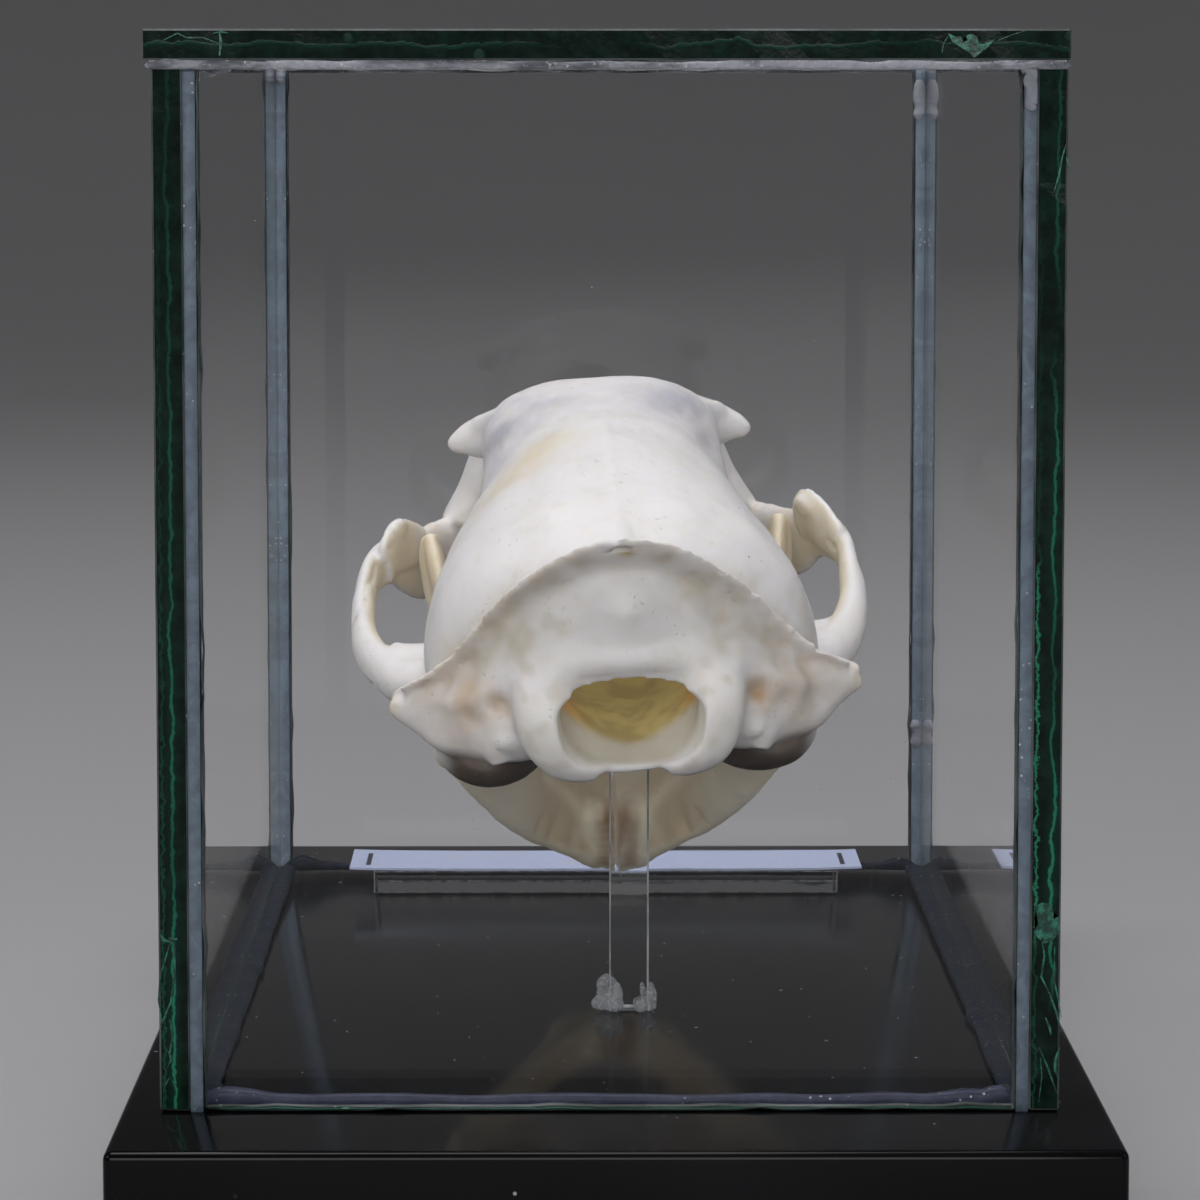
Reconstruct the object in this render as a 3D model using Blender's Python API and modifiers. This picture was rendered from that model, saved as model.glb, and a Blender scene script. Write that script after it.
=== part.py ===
"""Polecat skull at life size, mouth open, on a clear rod inside a glued glass case on a black plinth.

The skull and its jaw are shaped in millimetres in the skull's own frame: origin midway between the backs of
the occipital condyles, +Y to the nose, +Z up. Two empties then hold them at the pose of the mounted specimen.
The whole stands on the ground with its origin under the middle of the plinth.
"""

import math

import bmesh
import bpy
import numpy as np
from mathutils import Matrix, Vector

MM = 0.001
GAP = 0.3

# plinth, case, rod and label, in millimetres
PLINTH_X, PLINTH_Y, PLINTH_Z = 68.0, 135.0, 9.3
PLINTH_BEVEL = 0.6
CASE_X, CASE_Y, CASE_Z = 57.5, 105.4, 71.5
CASE_AT_X = -0.35
GLASS = 2.1
LID_LEFT, LID_RIGHT, LID_ENDS = 0.55, 0.1, 0.7
JOINT = 0.9
ROD = 3.0
ROD_AT = (1.4, -15.5)
LABEL_X, LABEL_Y, LABEL_THICK = 44.6, 10.2, 0.4
STRIP_X, STRIP_Y, STRIP_THICK = 40.4, 9.6, 1.7
LABEL_AT = 43.7

# pose of the skull in the case
SKULL_AT = (1.4, -36.9, 23.7)
SKULL_YAW, SKULL_PITCH, SKULL_ROLL = 2.5, 10.4, -3.2
HINGE = (0.0, 20.0, -1.5)
GAPE = 31.0

# fineness of the bone surface and number of triangles kept
VOXEL = 0.42
SMOOTH_STEPS = 4
CRANIUM_TRIANGLES = 6000
JAW_TRIANGLES = 1200

# the head's driving sizes, in millimetres, in the skull's frame
BRAINCASE_HALF = 14.5
WAIST_HALF = 9.1
FRONTAL_TOP = 17.9
INION = (0.0, 0.8, 14.6)
MASTOID = (17.7, 8.2, 1.3)
ZYGOMA_HALF = 19.4
LEFT_ARCH_SAG, LEFT_ARCH_FLARE = 1.1, 0.5
RIGHT_ARCH_SAG, RIGHT_ARCH_FLARE = 0.0, -0.4
RIGHT_PEAK_LEAN = 0.6
FLOOR_UNDER_ROD = -4.3
MUZZLE_HALF = 7.8
NOSE_END = 64.0
CONDYLE_RADIUS = 1.2
JAW_LENGTH = 41.0


def hermite(keys, t):
    """Row of the table keys at t from 0 to 1, on a smooth curve through its rows."""
    rows = np.asarray(keys, float)
    last = len(rows) - 1
    place = min(max(t, 0.0), 1.0) * last
    i = min(int(place), last - 1)
    u = place - i
    before, after = rows[max(i - 1, 0)], rows[min(i + 2, last)]
    a, b = rows[i], rows[i + 1]
    slope_a, slope_b = (b - before) / 2, (after - a) / 2
    return ((2 * u**3 - 3 * u**2 + 1) * a + (u**3 - 2 * u**2 + u) * slope_a
            + (3 * u**2 - 2 * u**3) * b + (u**3 - u**2) * slope_b)


def oval(angle, power):
    """Point of a unit superellipse."""
    c, s = math.cos(angle), math.sin(angle)
    return math.copysign(abs(c) ** (2 / power), c), math.copysign(abs(s) ** (2 / power), s)


def skin(name, ring, around, along):
    """Closed body through the rings ring(t, angle), t from 0 to 1, flat at both ends."""
    bm = bmesh.new()
    rows = along + 1
    bmesh.ops.create_uvsphere(bm, u_segments=around, v_segments=rows, radius=1.0)
    for vert in bm.verts:
        row = round(math.acos(max(-1.0, min(1.0, vert.co.z))) / math.pi * rows)
        t = min(max((row - 1) / (rows - 2), 0.0), 1.0)
        if row in (0, rows):
            ends = [ring(t, math.tau * k / around) for k in range(around)]
            vert.co = sum(ends, Vector()) / around
        else:
            vert.co = ring(t, math.atan2(vert.co.y, vert.co.x))
    if bm.calc_volume(signed=True) < 0:
        bmesh.ops.reverse_faces(bm, faces=bm.faces)
    mesh = bpy.data.meshes.new(name)
    bm.to_mesh(mesh)
    bm.free()
    return bpy.data.objects.new(name, mesh)


def shell(name, keys, around=40, along=40):
    """Body along Y. A key is y, half width, height of the widest level, top, bottom, powers above and below."""
    def ring(t, angle):
        y, half, level, top, bottom, above, below = hermite(keys, t)
        c, s = oval(angle, above if angle > 0 else below)
        return Vector((half * c, y, level + s * (top - level if s > 0 else level - bottom)))
    return skin(name, ring, around, along)


def limb(name, keys, up=(0, 0, 1), away=None, side=1, around=16, along=18, power=2.0):
    """Body along a curved line. A key is x, y, z, half size across and half size along up.

    up may be replaced by away, a point inside the head: the second half size then points away from it.
    """
    table = np.asarray(keys, float)

    def ring(t, angle):
        row = hermite(table, t)
        centre = Vector(row[:3])
        step = 0.01
        line = Vector(hermite(table, min(t + step, 1))[:3] - hermite(table, max(t - step, 0))[:3])
        lift = centre - Vector(away) if away else Vector(up)
        across = line.cross(lift).normalized()
        lift = across.cross(line).normalized()
        c, s = oval(angle, power)
        point = centre + across * (row[3] * c) + lift * (row[4] * s)
        return Vector((side * point.x, point.y, point.z))
    return skin(name, ring, around, along)


def pair(name, keys, **shape):
    """The same limb on both sides of the head."""
    return [limb(f"{name}_{side}", keys, side=side, **shape) for side in (-1, 1)]


def link(items, collection):
    for item in items:
        collection.objects.link(item)


def unlink(item):
    for collection in list(item.users_collection):
        collection.objects.unlink(item)


def apply(item):
    """Replace the object's mesh by what its modifiers make of it."""
    bench = bpy.context.scene.collection
    bench.objects.link(item)
    graph = bpy.context.evaluated_depsgraph_get()
    mesh = bpy.data.meshes.new_from_object(item.evaluated_get(graph))
    bench.objects.unlink(item)
    old = item.data
    item.modifiers.clear()
    item.data = mesh
    bpy.data.meshes.remove(old)


def clear(collection):
    for item in list(collection.objects):
        mesh = item.data
        bpy.data.objects.remove(item)
        bpy.data.meshes.remove(mesh)


def join(item, others, operation="UNION", solver="EXACT"):
    """One Boolean of item with a collection of closed bodies, which are then removed."""
    work = bpy.data.collections.new("work")
    bpy.context.scene.collection.children.link(work)
    link(others, work)
    boolean = item.modifiers.new("join", "BOOLEAN")
    boolean.operation = operation
    boolean.operand_type = "COLLECTION"
    boolean.collection = work
    boolean.solver = solver
    apply(item)
    clear(work)
    bpy.data.collections.remove(work)


def keep_largest(item):
    """Drop every closed surface but the largest one."""
    bm = bmesh.new()
    bm.from_mesh(item.data)
    left = set(bm.verts)
    best = []
    while left:
        todo = [left.pop()]
        island = []
        while todo:
            vert = todo.pop()
            island.append(vert)
            for edge in vert.link_edges:
                other = edge.other_vert(vert)
                if other in left:
                    left.remove(other)
                    todo.append(other)
        if len(island) > len(best):
            best, island = island, best
        bmesh.ops.delete(bm, geom=island, context="VERTS")
    bm.to_mesh(item.data)
    bm.free()


def cast_bone(item, triangles):
    """Blend the joined pieces into one smooth bone and thin out its surface."""
    remesh = item.modifiers.new("remesh", "REMESH")
    remesh.mode = "VOXEL"
    remesh.voxel_size = VOXEL
    smooth = item.modifiers.new("smooth", "SMOOTH")
    smooth.factor = 0.5
    smooth.iterations = SMOOTH_STEPS
    apply(item)
    keep_largest(item)
    faces = sum(len(p.vertices) - 2 for p in item.data.polygons)
    thin = item.modifiers.new("thin", "DECIMATE")
    thin.ratio = triangles / faces
    thin.use_collapse_triangulate = True
    apply(item)


def material(name, colour, roughness, alpha=1.0):
    made = bpy.data.materials.new(name)
    made.use_nodes = True
    bsdf = made.node_tree.nodes["Principled BSDF"]
    bsdf.inputs["Base Color"].default_value = (*colour, 1.0)
    bsdf.inputs["Roughness"].default_value = roughness
    bsdf.inputs["Alpha"].default_value = alpha
    return made


# cranium

def head_body():
    """Braincase, frontal roof and muzzle in one run from the occiput to the nose."""
    return shell("head", [
        (2.4, 7.4, 3.0, 10.6, -2.8, 2.2, 2.2),
        (3.7, 9.4, 2.9, 12.2, -3.1, 2.1, 2.2),
        (5.3, 11.2, 2.8, 13.4, -3.3, 2.1, 2.2),
        (7.2, 12.8, 2.7, 14.3, -3.4, 2.1, 2.2),
        (9.5, 14.0, 2.6, 15.1, -3.5, 2.2, 2.2),
        (12.0, BRAINCASE_HALF, 2.5, 15.7, -3.6, 2.1, 2.2),
        (15.0, BRAINCASE_HALF, 2.6, 16.3, -3.8, 2.0, 2.2),
        (19.0, 13.9, 3.0, 16.9, -3.8, 1.9, 2.1),
        (23.0, 12.6, 4.2, 17.3, -3.6, 1.9, 1.9),
        (27.0, 10.3, 6.8, 17.5, -3.3, 2.0, 1.6),
        (30.5, WAIST_HALF + 0.1, 10.4, 17.6, -2.9, 2.3, 1.3),
        (34.0, WAIST_HALF - 0.2, 12.4, FRONTAL_TOP, -2.8, 2.6, 1.2),
        (37.5, 9.0, 12.2, FRONTAL_TOP - 0.6, -2.8, 2.6, 1.2),
        (41.0, 8.8, 10.6, 16.0, -2.9, 2.5, 1.35),
        (43.6, 9.8, 8.6, 15.2, -3.1, 2.4, 2.0),
        (46.0, 10.0, 6.4, 14.4, -3.4, 2.3, 2.6),
        (48.6, 9.4, 5.0, 13.4, -3.5, 2.3, 3.0),
        (52.0, 8.3, 4.2, 12.2, -3.6, 2.3, 3.0),
        (55.5, MUZZLE_HALF, 3.6, 11.0, -3.6, 2.3, 3.0),
        (58.2, MUZZLE_HALF - 0.1, 3.0, 9.8, -3.5, 2.2, 2.8),
        (60.4, 6.9, 2.0, 7.2, -3.3, 2.0, 2.6),
        (62.3, 5.2, 0.6, 4.2, -3.0, 2.0, 2.4),
        (NOSE_END - 0.3, 3.2, -0.8, 1.6, -2.6, 2.0, 2.2),
    ], around=56, along=64)


def occiput():
    """Nuchal crest, swollen occipital plate, condyles, and the mastoid corners."""
    middle = (0.0, 12.0, 3.0)
    edge = [(-x, y, z) for x, y, z in (MASTOID, (14.6, 6.8, 3.3), (12.0, 5.4, 6.1), (9.5, 4.0, 9.3),
                                       (6.5, 2.5, 11.9), (3.4, 1.4, 13.8))]
    edge = edge + [INION] + [(-x, y, z) for x, y, z in reversed(edge)]
    depth = 2.0
    crest = []
    for x, y, z in edge:
        point = Vector((x, y, z))
        root = point - (point - Vector(middle)).normalized() * depth
        crest.append((root.x, root.y, root.z, 0.6, depth))
    pieces = [limb("nuchal_crest", crest, away=middle, around=14, along=60)]
    pieces += [limb("vermis", [(0, 4.6, 3.6, 4.2, 2.3), (0, 4.2, 7.0, 4.4, 2.3), (0, 5.0, 10.6, 4.2, 1.9)],
                    up=(0, 1, 0))]
    brow = [(-6.0, 3.4, 4.6, 1.3, 1.2), (-3.2, 2.9, 5.0, 1.3, 1.2), (0, 2.8, 5.1, 1.2, 1.2),
            (3.2, 2.9, 5.0, 1.3, 1.2), (6.0, 3.4, 4.6, 1.3, 1.2)]
    pieces += [limb("foramen_brow", brow, up=(0, -1, 0))]
    pieces += pair("condyle", [(6.4, 5.8, 5.2, 1.0, 0.8), (6.4, 3.3, 3.7, 2.1, 1.7),
                               (5.8, 1.9, 1.0, 2.4, 2.0), (4.8, 2.1, -1.4, 2.2, 1.9),
                               (2.8, 3.2, -3.1, 1.3, 1.5)], up=(0, -1, 0))
    pieces += pair("exoccipital", [(4.0, 4.6, 2.0, 3.0, 3.6), (8.5, 5.8, 1.2, 2.8, 4.4),
                                   (12.0, 7.6, 0.3, 2.5, 3.7), (14.8, 8.3, 0.7, 1.8, 2.3),
                                   (17.3, 8.6, 0.9, 0.7, 0.8)], up=(0, 0, 1))
    pieces += pair("paroccipital", [(10.4, 6.4, 0.4, 1.9, 2.0), (9.8, 5.2, -1.4, 1.3, 1.5),
                                    (9.4, 4.9, -3.0, 0.8, 0.9)], up=(0, 1, 0))
    pieces += pair("mastoid_process", [(13.2, 8.6, 1.2, 2.1, 2.2), (14.2, 9.4, -0.6, 1.5, 1.6),
                                       (14.4, 9.8, -2.3, 0.8, 0.9)], up=(0, 1, 0))
    return pieces


def crests():
    """Low sagittal crest and the two lines that part from it to the postorbital processes."""
    pieces = [limb("sagittal_crest", [(0, 3.0, 12.2, 0.9, 0.8), (0, 6, 13.2, 1.3, 0.8),
                                      (0, 12, 15.0, 0.9, 0.8), (0, 19, 16.5, 0.8, 0.55),
                                      (0, 26, 17.2, 0.6, 0.4)], around=10)]
    pieces += pair("temporal_line", [(0.4, 25.0, 16.6, 0.7, 0.5), (3.4, 29.5, 16.4, 0.7, 0.6),
                                     (6.6, 33.5, 15.5, 0.8, 0.9), (9.3, 36.8, 13.9, 0.9, 1.2)], around=10)
    pieces += pair("postorbital", [(6.8, 37.6, 13.4, 3.2, 2.2), (9.0, 37.6, 13.1, 2.5, 1.7),
                                   (10.6, 37.4, 12.8, 1.3, 1.2), (11.9, 37.2, 12.5, 0.6, 0.55)], up=(0, 0, 1))
    return pieces


def bow(side):
    """Bow of a zygomatic arch from braincase to muzzle. The left one hangs lower and wider on this skull."""
    keys = [(12.6, 16.0, -0.3, 2.6, 2.2), (15.3, 17.2, -0.2, 2.0, 1.9), (17.3, 19.6, 0.7, 1.5, 1.6),
            (18.5, 22.7, 2.2, 1.1, 1.5), (ZYGOMA_HALF - 0.8, 26.4, 3.8, 0.85, 1.5),
            (18.1, 30.4, 4.8, 0.8, 1.7), (16.6, 34.4, 4.6, 0.9, 2.0), (14.7, 38.0, 3.0, 1.0, 2.8),
            (12.6, 41.6, 2.4, 1.5, 3.1), (9.4, 44.8, 2.4, 2.4, 3.2)]
    sag, flare = (LEFT_ARCH_SAG, LEFT_ARCH_FLARE) if side < 0 else (RIGHT_ARCH_SAG, RIGHT_ARCH_FLARE)
    share = (0.0, 0.2, 0.5, 0.8, 0.8, 0.4, 0.1, 0.0, 0.0, 0.0)
    return [(x + flare * w, y, z - sag * w, a, b) for (x, y, z, a, b), w in zip(keys, share)]


def arches():
    """Zygomatic arches: root on the braincase, bow, jugal with its peak and plate, and root on the muzzle."""
    pieces = [limb(f"arch_{side}", bow(side), side=side, around=18, along=44) for side in (-1, 1)]
    for side, lean in ((-1, 0.0), (1, RIGHT_PEAK_LEAN)):
        peak = [(16.8, 33.0, 4.6, 0.7, 3.4), (16.2 - lean / 2, 33.5, 6.4, 0.65, 2.1),
                (15.6 - lean, 34.1, 7.6, 0.5, 0.9)]
        pieces.append(limb(f"jugal_peak_{side}", peak, up=(-0.35, 0.93, 0), side=side, around=12, along=8))
    left_plate = [(17.2, 31.0, 5.0, 0.6, 1.8), (16.3, 33.2, 5.8, 0.6, 2.2), (15.4, 35.0, 5.4, 0.6, 2.0),
                  (14.4, 37.2, 4.7, 0.8, 1.6)]
    right_plate = [(17.8, 29.0, 5.1, 0.6, 1.6), (16.8, 31.6, 6.0, 0.6, 2.0), (15.8, 33.8, 6.3, 0.6, 2.1),
                   (15.2, 35.4, 5.4, 0.5, 1.4)]
    pieces += [limb("jugal_plate_left", left_plate, side=-1), limb("jugal_plate_right", right_plate)]
    pieces += pair("orbit_rim", [(5.4, 44.6, 13.6, 1.2, 2.4), (7.6, 44.4, 11.8, 1.4, 3.2),
                                 (8.8, 44.4, 9.4, 1.4, 3.9), (9.5, 44.2, 6.8, 1.7, 3.9),
                                 (10.8, 43.4, 4.2, 2.0, 3.2)], up=(0, 1, 0))
    pieces += pair("postglenoid", [(11.2, 17.4, -0.6, 1.2, 1.5), (14.0, 17.5, -1.4, 1.0, 1.9),
                                   (16.6, 18.2, -0.6, 0.7, 1.3)], up=(0, 0, 1), around=12, along=8)
    pieces += pair("preglenoid", [(11.2, 22.2, -0.4, 1.0, 1.1), (14.0, 22.4, -0.4, 0.9, 1.1),
                                  (17.2, 22.0, 0.6, 0.7, 1.1)], up=(0, 0, 1), around=12, along=8)
    pieces += pair("glenoid_roof", [(10.0, 19.6, 0.8, 3.0, 1.3), (14.0, 19.6, 0.5, 2.8, 1.2),
                                    (16.8, 20.0, 0.9, 1.8, 1.0)], up=(0, 0, 1), around=14, along=8)
    return pieces


def underside():
    """Bullae, the floor between them, the pterygoid plates, palate and tooth ridges."""
    pieces = pair("bulla", [(11.0, 6.2, -2.3, 1.6, 1.4), (10.3, 8.6, -3.0, 3.8, 2.9),
                            (9.6, 12.5, -3.1, 4.4, 3.5), (8.9, 16.8, -3.2, 3.9, 3.5),
                            (7.6, 20.6, -2.9, 2.6, 2.5), (6.6, 23.4, -2.2, 1.0, 1.0)],
                  around=24, along=20)
    pieces += [limb("floor", [(0, 2.4, -2.1, 4.6, 1.4), (0, 8, -2.4, 3.6, 1.5), (0, 16, -2.6, 4.2, 1.5),
                              (0, 24, -2.0, 4.0, 1.7), (0, 32, -0.6, 3.6, 2.0), (0, 38, -0.6, 4.4, 2.6)],
                    power=3.0, around=20)]
    pieces += pair("pterygoid", [(3.4, 37.0, -2.0, 0.8, 1.8), (3.1, 32.0, -2.4, 0.55, 1.9),
                                 (3.0, 28.0, -2.6, 0.5, 2.0), (3.3, 25.4, -3.6, 0.45, 1.2),
                                 (3.6, 23.8, -4.6, 0.4, 0.6)], around=12)
    pieces += [limb("palate", [(0, 34.6, -2.7, 4.0, 0.7), (0, 40.0, -3.0, 6.0, 0.8), (0, 47.0, -3.2, 7.4, 0.9),
                               (0, 55.0, -3.2, 6.2, 0.9), (0, 61.5, -2.8, 4.8, 0.9)], power=3.0, around=20)]
    pieces += pair("tooth_ridge", [(8.2, 40.2, -1.6, 2.0, 1.9), (9.6, 43.0, -1.6, 2.1, 2.5),
                                   (9.0, 47.0, -2.0, 1.7, 2.4), (7.7, 52.0, -2.0, 1.5, 2.3),
                                   (6.4, 57.0, -1.6, 1.7, 2.7), (5.2, 60.4, -1.7, 1.6, 2.2),
                                   (2.6, 62.6, -1.8, 1.3, 1.6)], around=14, along=24)
    return pieces


def head_hollows():
    """Braincase behind the foramen magnum, nose, glenoid grooves, ear and infraorbital holes, rear of the palate."""
    cuts = [shell("brain", [
        (-3.0, 5.5, 1.6, 4.2, -3.6, 1.9, 2.7),
        (0.8, 5.2, 1.6, 3.7, -3.1, 1.9, 2.7),
        (2.6, 5.0, 1.6, 3.7, -2.8, 1.9, 2.4),
        (4.6, 5.5, 2.0, 7.2, -2.0, 2.1, 1.4),
        (8.0, 6.4, 4.0, 11.2, -1.2, 2.2, 1.5),
        (14.0, 6.5, 5.0, 12.6, -1.0, 2.2, 2.2),
        (20.0, 6.2, 6.0, 12.4, 0.0, 2.2, 2.2),
        (24.5, 3.4, 7.0, 10.0, 3.4, 2.2, 2.2),
    ], around=32, along=28)]
    cuts += [shell("nose", [
        (66.0, 3.6, 4.0, 10.0, 0.8, 2.0, 2.0),
        (61.0, 3.5, 5.0, 9.6, 1.4, 2.0, 2.0),
        (57.0, 3.1, 5.6, 9.2, 2.2, 2.0, 2.0),
        (50.0, 2.2, 6.0, 8.6, 3.4, 2.0, 2.0),
    ], around=24, along=12)]
    reach = CONDYLE_RADIUS + GAP + 0.1
    x, y, z = HINGE
    cuts += pair("glenoid", [(9.6, y, z, reach, reach), (18.6, y, z, reach, reach)], around=20, along=4)
    cuts += pair("ear", [(16.5, 12.6, -2.4, 1.2, 1.3), (11.5, 12.6, -2.4, 1.0, 1.1)], around=14, along=4)
    cuts += pair("infraorbital", [(10.4, 50.5, 3.6, 1.0, 1.3), (10.1, 46.0, 4.3, 1.0, 1.3),
                                  (10.2, 39.5, 4.9, 1.0, 1.3)], around=14, along=8)
    cuts += [limb("choana", [(0, 27.0, -3.6, 1.9, 1.6), (0, 33.0, -2.0, 1.8, 1.0), (0, 42.0, -1.2, 1.4, 0.8)],
                  around=16, along=10)]
    return cuts


# teeth: name, middle of the root, tip, half length along the row, half width, forward bow, bluntness, sides
UPPER_TEETH = [
    ("incisor_1", (0.8, 62.5, -1.8), (0.85, 63.3, -5.3), 0.8, 0.8, 0.0, 0.6, 6),
    ("incisor_2", (2.2, 62.2, -1.8), (2.25, 63.0, -5.5), 0.9, 0.82, 0.0, 0.6, 6),
    ("incisor_3", (3.7, 61.3, -1.6), (3.9, 62.0, -6.4), 1.2, 1.0, 0.2, 0.4, 6),
    ("canine", (6.0, 59.0, -1.6), (6.7, 58.5, -12.8), 1.95, 1.5, 1.1, 0.14, 8),
    ("premolar_2", (6.7, 55.3, -2.2), (6.9, 55.5, -5.9), 1.5, 0.8, 0.0, 0.2, 6),
    ("premolar_3", (7.6, 51.9, -2.2), (7.9, 52.2, -7.2), 2.2, 1.05, 0.0, 0.18, 6),
    ("carnassial_tall", (8.9, 47.7, -2.2), (9.4, 48.0, -9.0), 2.4, 1.25, 0.0, 0.18, 6),
    ("carnassial_blade", (9.7, 44.6, -2.2), (10.2, 44.0, -7.0), 2.2, 1.1, 0.0, 0.4, 6),
    ("carnassial_inner", (7.2, 49.2, -2.2), (6.9, 49.4, -5.6), 1.1, 1.2, 0.0, 0.3, 6),
    ("molar_outer", (9.8, 41.6, -1.6), (10.1, 41.5, -5.1), 1.4, 1.5, 0.0, 0.5, 6),
    ("molar_waist", (8.2, 41.5, -1.6), (8.2, 41.4, -4.2), 1.3, 1.4, 0.0, 0.8, 6),
    ("molar_inner", (6.6, 41.3, -1.6), (6.4, 41.3, -4.9), 1.8, 1.3, 0.0, 0.6, 6),
]
LOWER_TEETH = [
    ("incisor_1", (0.85, 39.5, -0.6), (0.85, 40.9, 2.7), 0.55, 0.42, 0.0, 0.6, 6),
    ("incisor_2", (1.6, 39.2, -0.6), (1.65, 40.5, 2.9), 0.65, 0.5, 0.0, 0.6, 6),
    ("incisor_3", (2.4, 38.9, -0.6), (2.5, 40.0, 3.1), 0.7, 0.6, 0.0, 0.5, 6),
    ("canine", (3.6, 37.0, -1.2), (4.9, 37.6, 9.0), 1.8, 1.4, 1.3, 0.14, 8),
    ("premolar_2", (3.8, 33.7, -1.0), (3.9, 34.0, 2.4), 1.3, 0.8, 0.0, 0.2, 6),
    ("premolar_3", (4.8, 30.7, -1.4), (5.0, 31.1, 3.4), 1.9, 0.95, 0.0, 0.18, 6),
    ("premolar_4", (6.1, 27.1, -1.6), (6.3, 27.5, 4.2), 2.3, 1.05, 0.0, 0.18, 6),
    ("carnassial_front", (7.4, 23.4, -1.8), (7.6, 23.5, 4.6), 2.2, 1.15, 0.0, 0.3, 6),
    ("carnassial_tall", (8.1, 20.6, -1.6), (8.3, 20.3, 5.6), 2.2, 1.2, 0.0, 0.26, 6),
    ("carnassial_heel", (9.0, 18.0, -1.4), (9.2, 17.7, 1.8), 1.7, 1.1, 0.0, 0.5, 6),
    ("molar_2", (9.9, 15.7, -1.2), (10.1, 15.6, 1.5), 1.1, 0.95, 0.0, 0.6, 6),
]


def cusp(name, root, tip, long_half, wide_half, bow_forward, blunt, sides, side):
    """Pointed crown of a tooth from its root to its tip."""
    root, tip = Vector(root), Vector(tip)
    steps = 4
    keys = []
    for step in range(steps + 1):
        t = step / steps
        size = blunt + (1 - blunt) * (1 - t**1.6)
        point = root.lerp(tip, t)
        keys.append((point.x, point.y + bow_forward * 4 * t * (1 - t), point.z, wide_half * size, long_half * size))
    return limb(name, keys, up=(0, 1, 0), side=side, around=sides, along=steps)


def tooth_row(table, side):
    return [cusp(*row, side) for row in table]


def cranium():
    bone = head_body()
    bone.name = "cranium"
    join(bone, occiput() + crests() + arches() + underside())
    join(bone, head_hollows(), "DIFFERENCE")
    cast_bone(bone, CRANIUM_TRIANGLES)
    join(bone, tooth_row(UPPER_TEETH, -1) + tooth_row(UPPER_TEETH, 1))
    keep_largest(bone)
    return bone


# lower jaw, in its own frame: origin on the hinge line, +Y along the tooth row

def jaw_half(name, side):
    body = [(2.0, JAW_LENGTH - 1.6, -0.6, 2.6, 1.7), (1.9, 36.4, -2.1, 3.4, 3.0), (2.0, 32.4, -3.4, 3.8, 3.7),
            (4.0, 28.2, -3.9, 2.5, 3.7), (6.1, 23.0, -4.0, 1.75, 3.7), (8.3, 17.0, -3.8, 1.7, 3.9),
            (10.6, 11.0, -3.0, 1.5, 3.9), (12.6, 6.0, -2.0, 1.2, 3.6), (13.6, 2.6, -1.4, 1.0, 2.6),
            (14.0, 0.0, -0.3, 1.0, 1.1)]
    bone = limb(name, body, side=side, around=24, along=44)
    blade = [(11.0, 9.6, -2.0, 1.2, 5.6), (11.8, 9.4, 3.0, 1.0, 5.0), (12.6, 8.8, 7.4, 0.8, 3.9),
             (13.2, 8.1, 11.2, 0.75, 2.7), (13.6, 7.6, 13.9, 0.6, 1.3)]
    horn = [(13.2, 4.4, -4.0, 1.0, 1.5), (13.5, 1.6, -4.8, 0.8, 1.1), (13.6, -0.8, -5.2, 0.5, 0.6)]
    chin = [(1.6, 25.6, -4.8, 0.6, 1.0), (0.8, 28.8, -5.1, 1.4, 2.1), (0.4, 32.6, -5.2, 2.2, 3.1),
            (0.4, 36.6, -3.4, 2.2, 3.1), (0.9, JAW_LENGTH - 1.4, -1.6, 1.6, 1.4)]
    pieces = [limb("chin", chin, side=side, around=16, along=18),
              limb("coronoid", blade, up=(0, 1, 0), side=side, around=16, along=16),
              limb("angular", horn, side=side, around=12, along=8),
              limb("ridge", [(10.4, 14.4, -1.6, 1.0, 1.2), (11.8, 13.0, 3.0, 1.1, 1.0), (12.8, 11.4, 7.6, 1.1, 0.9),
                             (13.5, 9.4, 11.6, 1.1, 0.9), (13.6, 7.9, 13.6, 0.8, 0.7)],
                   up=(0, 1, 0), side=side, around=12, along=14),
              limb("condyle", [(10.6, 0.0, -0.1, 0.6, 0.7), (11.6, 0.0, 0.0, 1.1, 1.1),
                               (14.2, 0.0, 0.0, CONDYLE_RADIUS, CONDYLE_RADIUS), (16.6, 0.0, 0.0, 1.1, 1.1),
                               (17.5, 0.0, 0.0, 0.6, 0.6)], side=side, around=16, along=12)]
    join(bone, pieces)
    cast_bone(bone, JAW_TRIANGLES)
    join(bone, tooth_row(LOWER_TEETH, side))
    bpy.ops.mesh.primitive_cube_add(size=20.0, location=(side * (GAP / 2 - 10.0), 36.0, 0.0))
    half_space = bpy.context.object
    half_space.scale.y = 2.0
    bpy.ops.object.transform_apply(location=True, rotation=False, scale=True)
    unlink(half_space)
    join(bone, [half_space], "DIFFERENCE")
    keep_largest(bone)
    return bone


# stand and case

def block(name, low, high, bevel=0.0):
    """Box between two corners, in millimetres, with its centre as its object's place."""
    low, high = Vector(low), Vector(high)
    bpy.ops.mesh.primitive_cube_add(size=1.0)
    box = bpy.context.object
    box.name = name
    unlink(box)
    size = (high - low) * MM
    box.data.transform(Matrix.Diagonal((*size, 1.0)))
    box.location = (low + high) / 2 * MM
    if bevel:
        edge = box.modifiers.new("bevel", "BEVEL")
        edge.width = bevel * MM
        edge.segments = 2
    return box


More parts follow.
